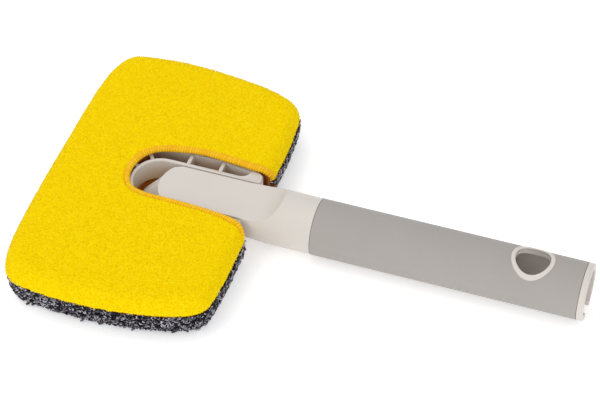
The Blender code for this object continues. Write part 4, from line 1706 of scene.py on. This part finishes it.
    def build(self, look: bpy.types.Material) -> list[bpy.types.Object]:
        """Build and dress the binding.

        Args:
            look: Its thread's material.

        Returns:
            The cord and its stitches.
        """
        path = self.spread_path(self.path())
        cord = dressed(self.build_cord(path), look)
        mesh = bpy.data.meshes.new(self.label + "_line")
        mesh.from_pydata([tuple(step[0]) for step in path],
                         [(index, index + 1) for index in range(len(path) - 1)], [])
        wide = mesh.attributes.new("wide", "FLOAT", "POINT")
        wide.data.foreach_set("value", [step[3] for step in path])
        line = linked(self.label + "_line", mesh)
        stitches = overlock_tree(look).grow(
            line, self.label + "_stitches",
            {"Stitch Pitch": self.stitch_pitch, "Band Width": self.half_width - self.stand_off,
             "Band Height": self.half_height - self.stand_off, "Thread Radius": self.thread_radius,
             "Slant": self.slant})
        bpy.data.objects.remove(line)
        fitted(cord, Body.HEAD, self.label)
        fitted(stitches, Body.HEAD)
        return [cord, stitches]


@dataclass
class FoldedLining:
    """Folded edges of the lining that show in the notch: at each lobe and round the front."""

    lobe_path: tuple = ((-0.0462, 0.0272), (-0.0432, 0.0268), (-0.0404, 0.0262),
                        (-0.0381, 0.0252), (-0.0366, 0.0236))
    lobe_steps: int = 5
    front_x: float = -0.1065
    behind: float = 0.0012
    half_thickness: float = 0.0008
    shoulder: float = 0.6
    low_z: float = 0.0098
    high_z: float = 0.0238

    def front_path(self) -> list[Vector]:
        """Plan line of the front fold.

        Returns:
            Its points, just behind the upper opening's binding.
        """
        edge = Binding(Side.SCRUB)
        return [Vector((spot.x, spot.y, 0.0)) + across * self.behind
                for spot, across, _, _ in edge.spread_path(edge.path()) if spot.x < self.front_x]

    def build_fold(self, name: str, line: list[Vector],
                   look: bpy.types.Material) -> bpy.types.Object:
        """Stand a strip of cloth with a rounded top on a plan line.

        Args:
            name: Name of the strip.
            line: Its plan line.
            look: The folds' material, a darker copy of the lining's with painted shade.

        Returns:
            The strip.
        """
        last = len(line) - 1
        side_z = self.high_z - self.half_thickness
        shoulder_z = self.high_z - self.half_thickness / 3
        profile = ((-1, self.low_z), (1, self.low_z), (1, side_z), (self.shoulder, shoulder_z),
                   (0, self.high_z), (-self.shoulder, shoulder_z), (-1, side_z))
        rings = []
        for index, spot in enumerate(line):
            run = (line[min(index + 1, last)] - line[max(index - 1, 0)]).normalized()
            across = Vector((-run.y, run.x, 0.0)) * self.half_thickness
            rings.append([spot + across * share + Vector((0.0, 0.0, height))
                          for share, height in profile])
        strip = dressed(swept(name, rings, False), look)
        return fitted(strip, Body.HEAD)

    def build(self, look: bpy.types.Material) -> list[bpy.types.Object]:
        """Build and dress the strips.

        Args:
            look: The folds' material, a darker copy of the lining's with painted shade.

        Returns:
            The three strips.
        """
        lines = {"notch_lining_front": self.front_path()}
        for side, name in ((1, "lobe_lining_left"), (-1, "lobe_lining_right")):
            plan = [(x, side * y, 0.0) for x, y in self.lobe_path]
            lines[name] = smooth_path(plan, self.lobe_steps)
        return [self.build_fold(name, line, look) for name, line in lines.items()]


@dataclass
class Studio:
    """Plain floor, soft light and the camera at the photograph's angle."""

    floor_half: float = 4.0
    floor_z: float = -0.0001
    sky: float = 0.765
    lights: tuple = (("overhead", (-0.45, 0.75, 1.20), 1.2, 2.5),
                     ("front_fill", (0.7, -1.4, 0.8), 1.2, 6.5),
                     ("left_fill", (-0.9, -0.35, 1.30), 1.0, 5.0))
    aim: tuple = (0.0, 0.0, 0.02)
    eye: tuple = (0.27995, -0.8613, 0.96446)
    right: tuple = (0.9479, 0.3186, 0.0)
    up: tuple = (-0.2279, 0.6779, 0.6989)
    back: tuple = (0.2227, -0.6625, 0.7152)
    lens: float = 138.0
    sensor: float = 36.0
    clip: tuple = (0.01, 50.0)

    def build(self) -> list[bpy.types.Object]:
        """Make the floor, the lights and the camera.

        Returns:
            The floor, in a list.
        """
        reach, low = self.floor_half, self.floor_z
        mesh = bpy.data.meshes.new("floor")
        mesh.from_pydata([(-reach, -reach, low), (reach, -reach, low), (reach, reach, low),
                          (-reach, reach, low)], [], [(0, 1, 2, 3)])
        floor = linked("floor", mesh)
        dressed(floor, StudioPaper("studio_paper").make())
        world = bpy.data.worlds.new("studio_world")
        world.use_nodes = True
        background = world.node_tree.nodes["Background"]
        background.inputs["Color"].default_value = WHITE
        background.inputs["Strength"].default_value = self.sky
        bpy.context.scene.world = world
        for name, place, size, power in self.lights:
            self.add_light(name, place, size, power)
        self.add_camera()
        bpy.context.scene.view_settings.view_transform = "Standard"
        return [floor]

    def add_light(self, name: str, place: tuple, size: float, power: float) -> None:
        """Add a soft square light aimed at the object.

        Args:
            name: Its name.
            place: Its place.
            size: Its side.
            power: Its power in watts.
        """
        data = bpy.data.lights.new(name, "AREA")
        data.size = size
        data.energy = power
        lamp = bpy.data.objects.new(name, data)
        lamp.location = place
        way = Vector(self.aim) - Vector(place)
        lamp.rotation_euler = way.to_track_quat("-Z", "Y").to_euler()
        bpy.context.scene.collection.objects.link(lamp)

    def add_camera(self) -> None:
        """Add the camera, fitted to the photograph."""
        data = bpy.data.cameras.new("camera")
        data.lens = self.lens
        data.sensor_width = self.sensor
        data.clip_start, data.clip_end = self.clip
        camera = bpy.data.objects.new("camera", data)
        turn = Matrix((self.right, self.up, self.back)).transposed()
        camera.matrix_world = Matrix.Translation(Vector(self.eye)) @ turn.to_4x4()
        bpy.context.scene.collection.objects.link(camera)
        bpy.context.scene.camera = camera


def report(title: str, pieces: list[bpy.types.Object]) -> None:
    """Log each piece's name and face count.

    Args:
        title: The step that made them.
        pieces: The pieces.
    """
    for piece in pieces:
        LOG.info("%s: %s, %d faces", title, piece.name, len(piece.data.polygons))


def main() -> None:
    """Build the dressed scrubber."""
    logging.basicConfig(level=logging.INFO, format="%(message)s")
    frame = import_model()
    looks = Finishes.make()
    steps: list[tuple[str, Callable[[], list[bpy.types.Object]]]] = [
        ("studio", Studio().build),
        ("handle", lambda: Handle().build(frame, looks)),
        ("head frame", lambda: HeadFrame().build(frame, looks)),
        ("scouring face", lambda: ScrubCover().build(frame, looks)),
        ("chenille face", lambda: ChenilleCover().build(frame, looks)),
        ("upper binding", lambda: Binding(Side.SCRUB).build(looks.overlock)),
        ("lower binding", lambda: Binding(Side.CHENILLE).build(looks.under_thread)),
        ("folded lining", lambda: FoldedLining().build(looks.fold)),
    ]
    for title, step in steps:
        report(title, step())


if __name__ == "__main__":
    main()
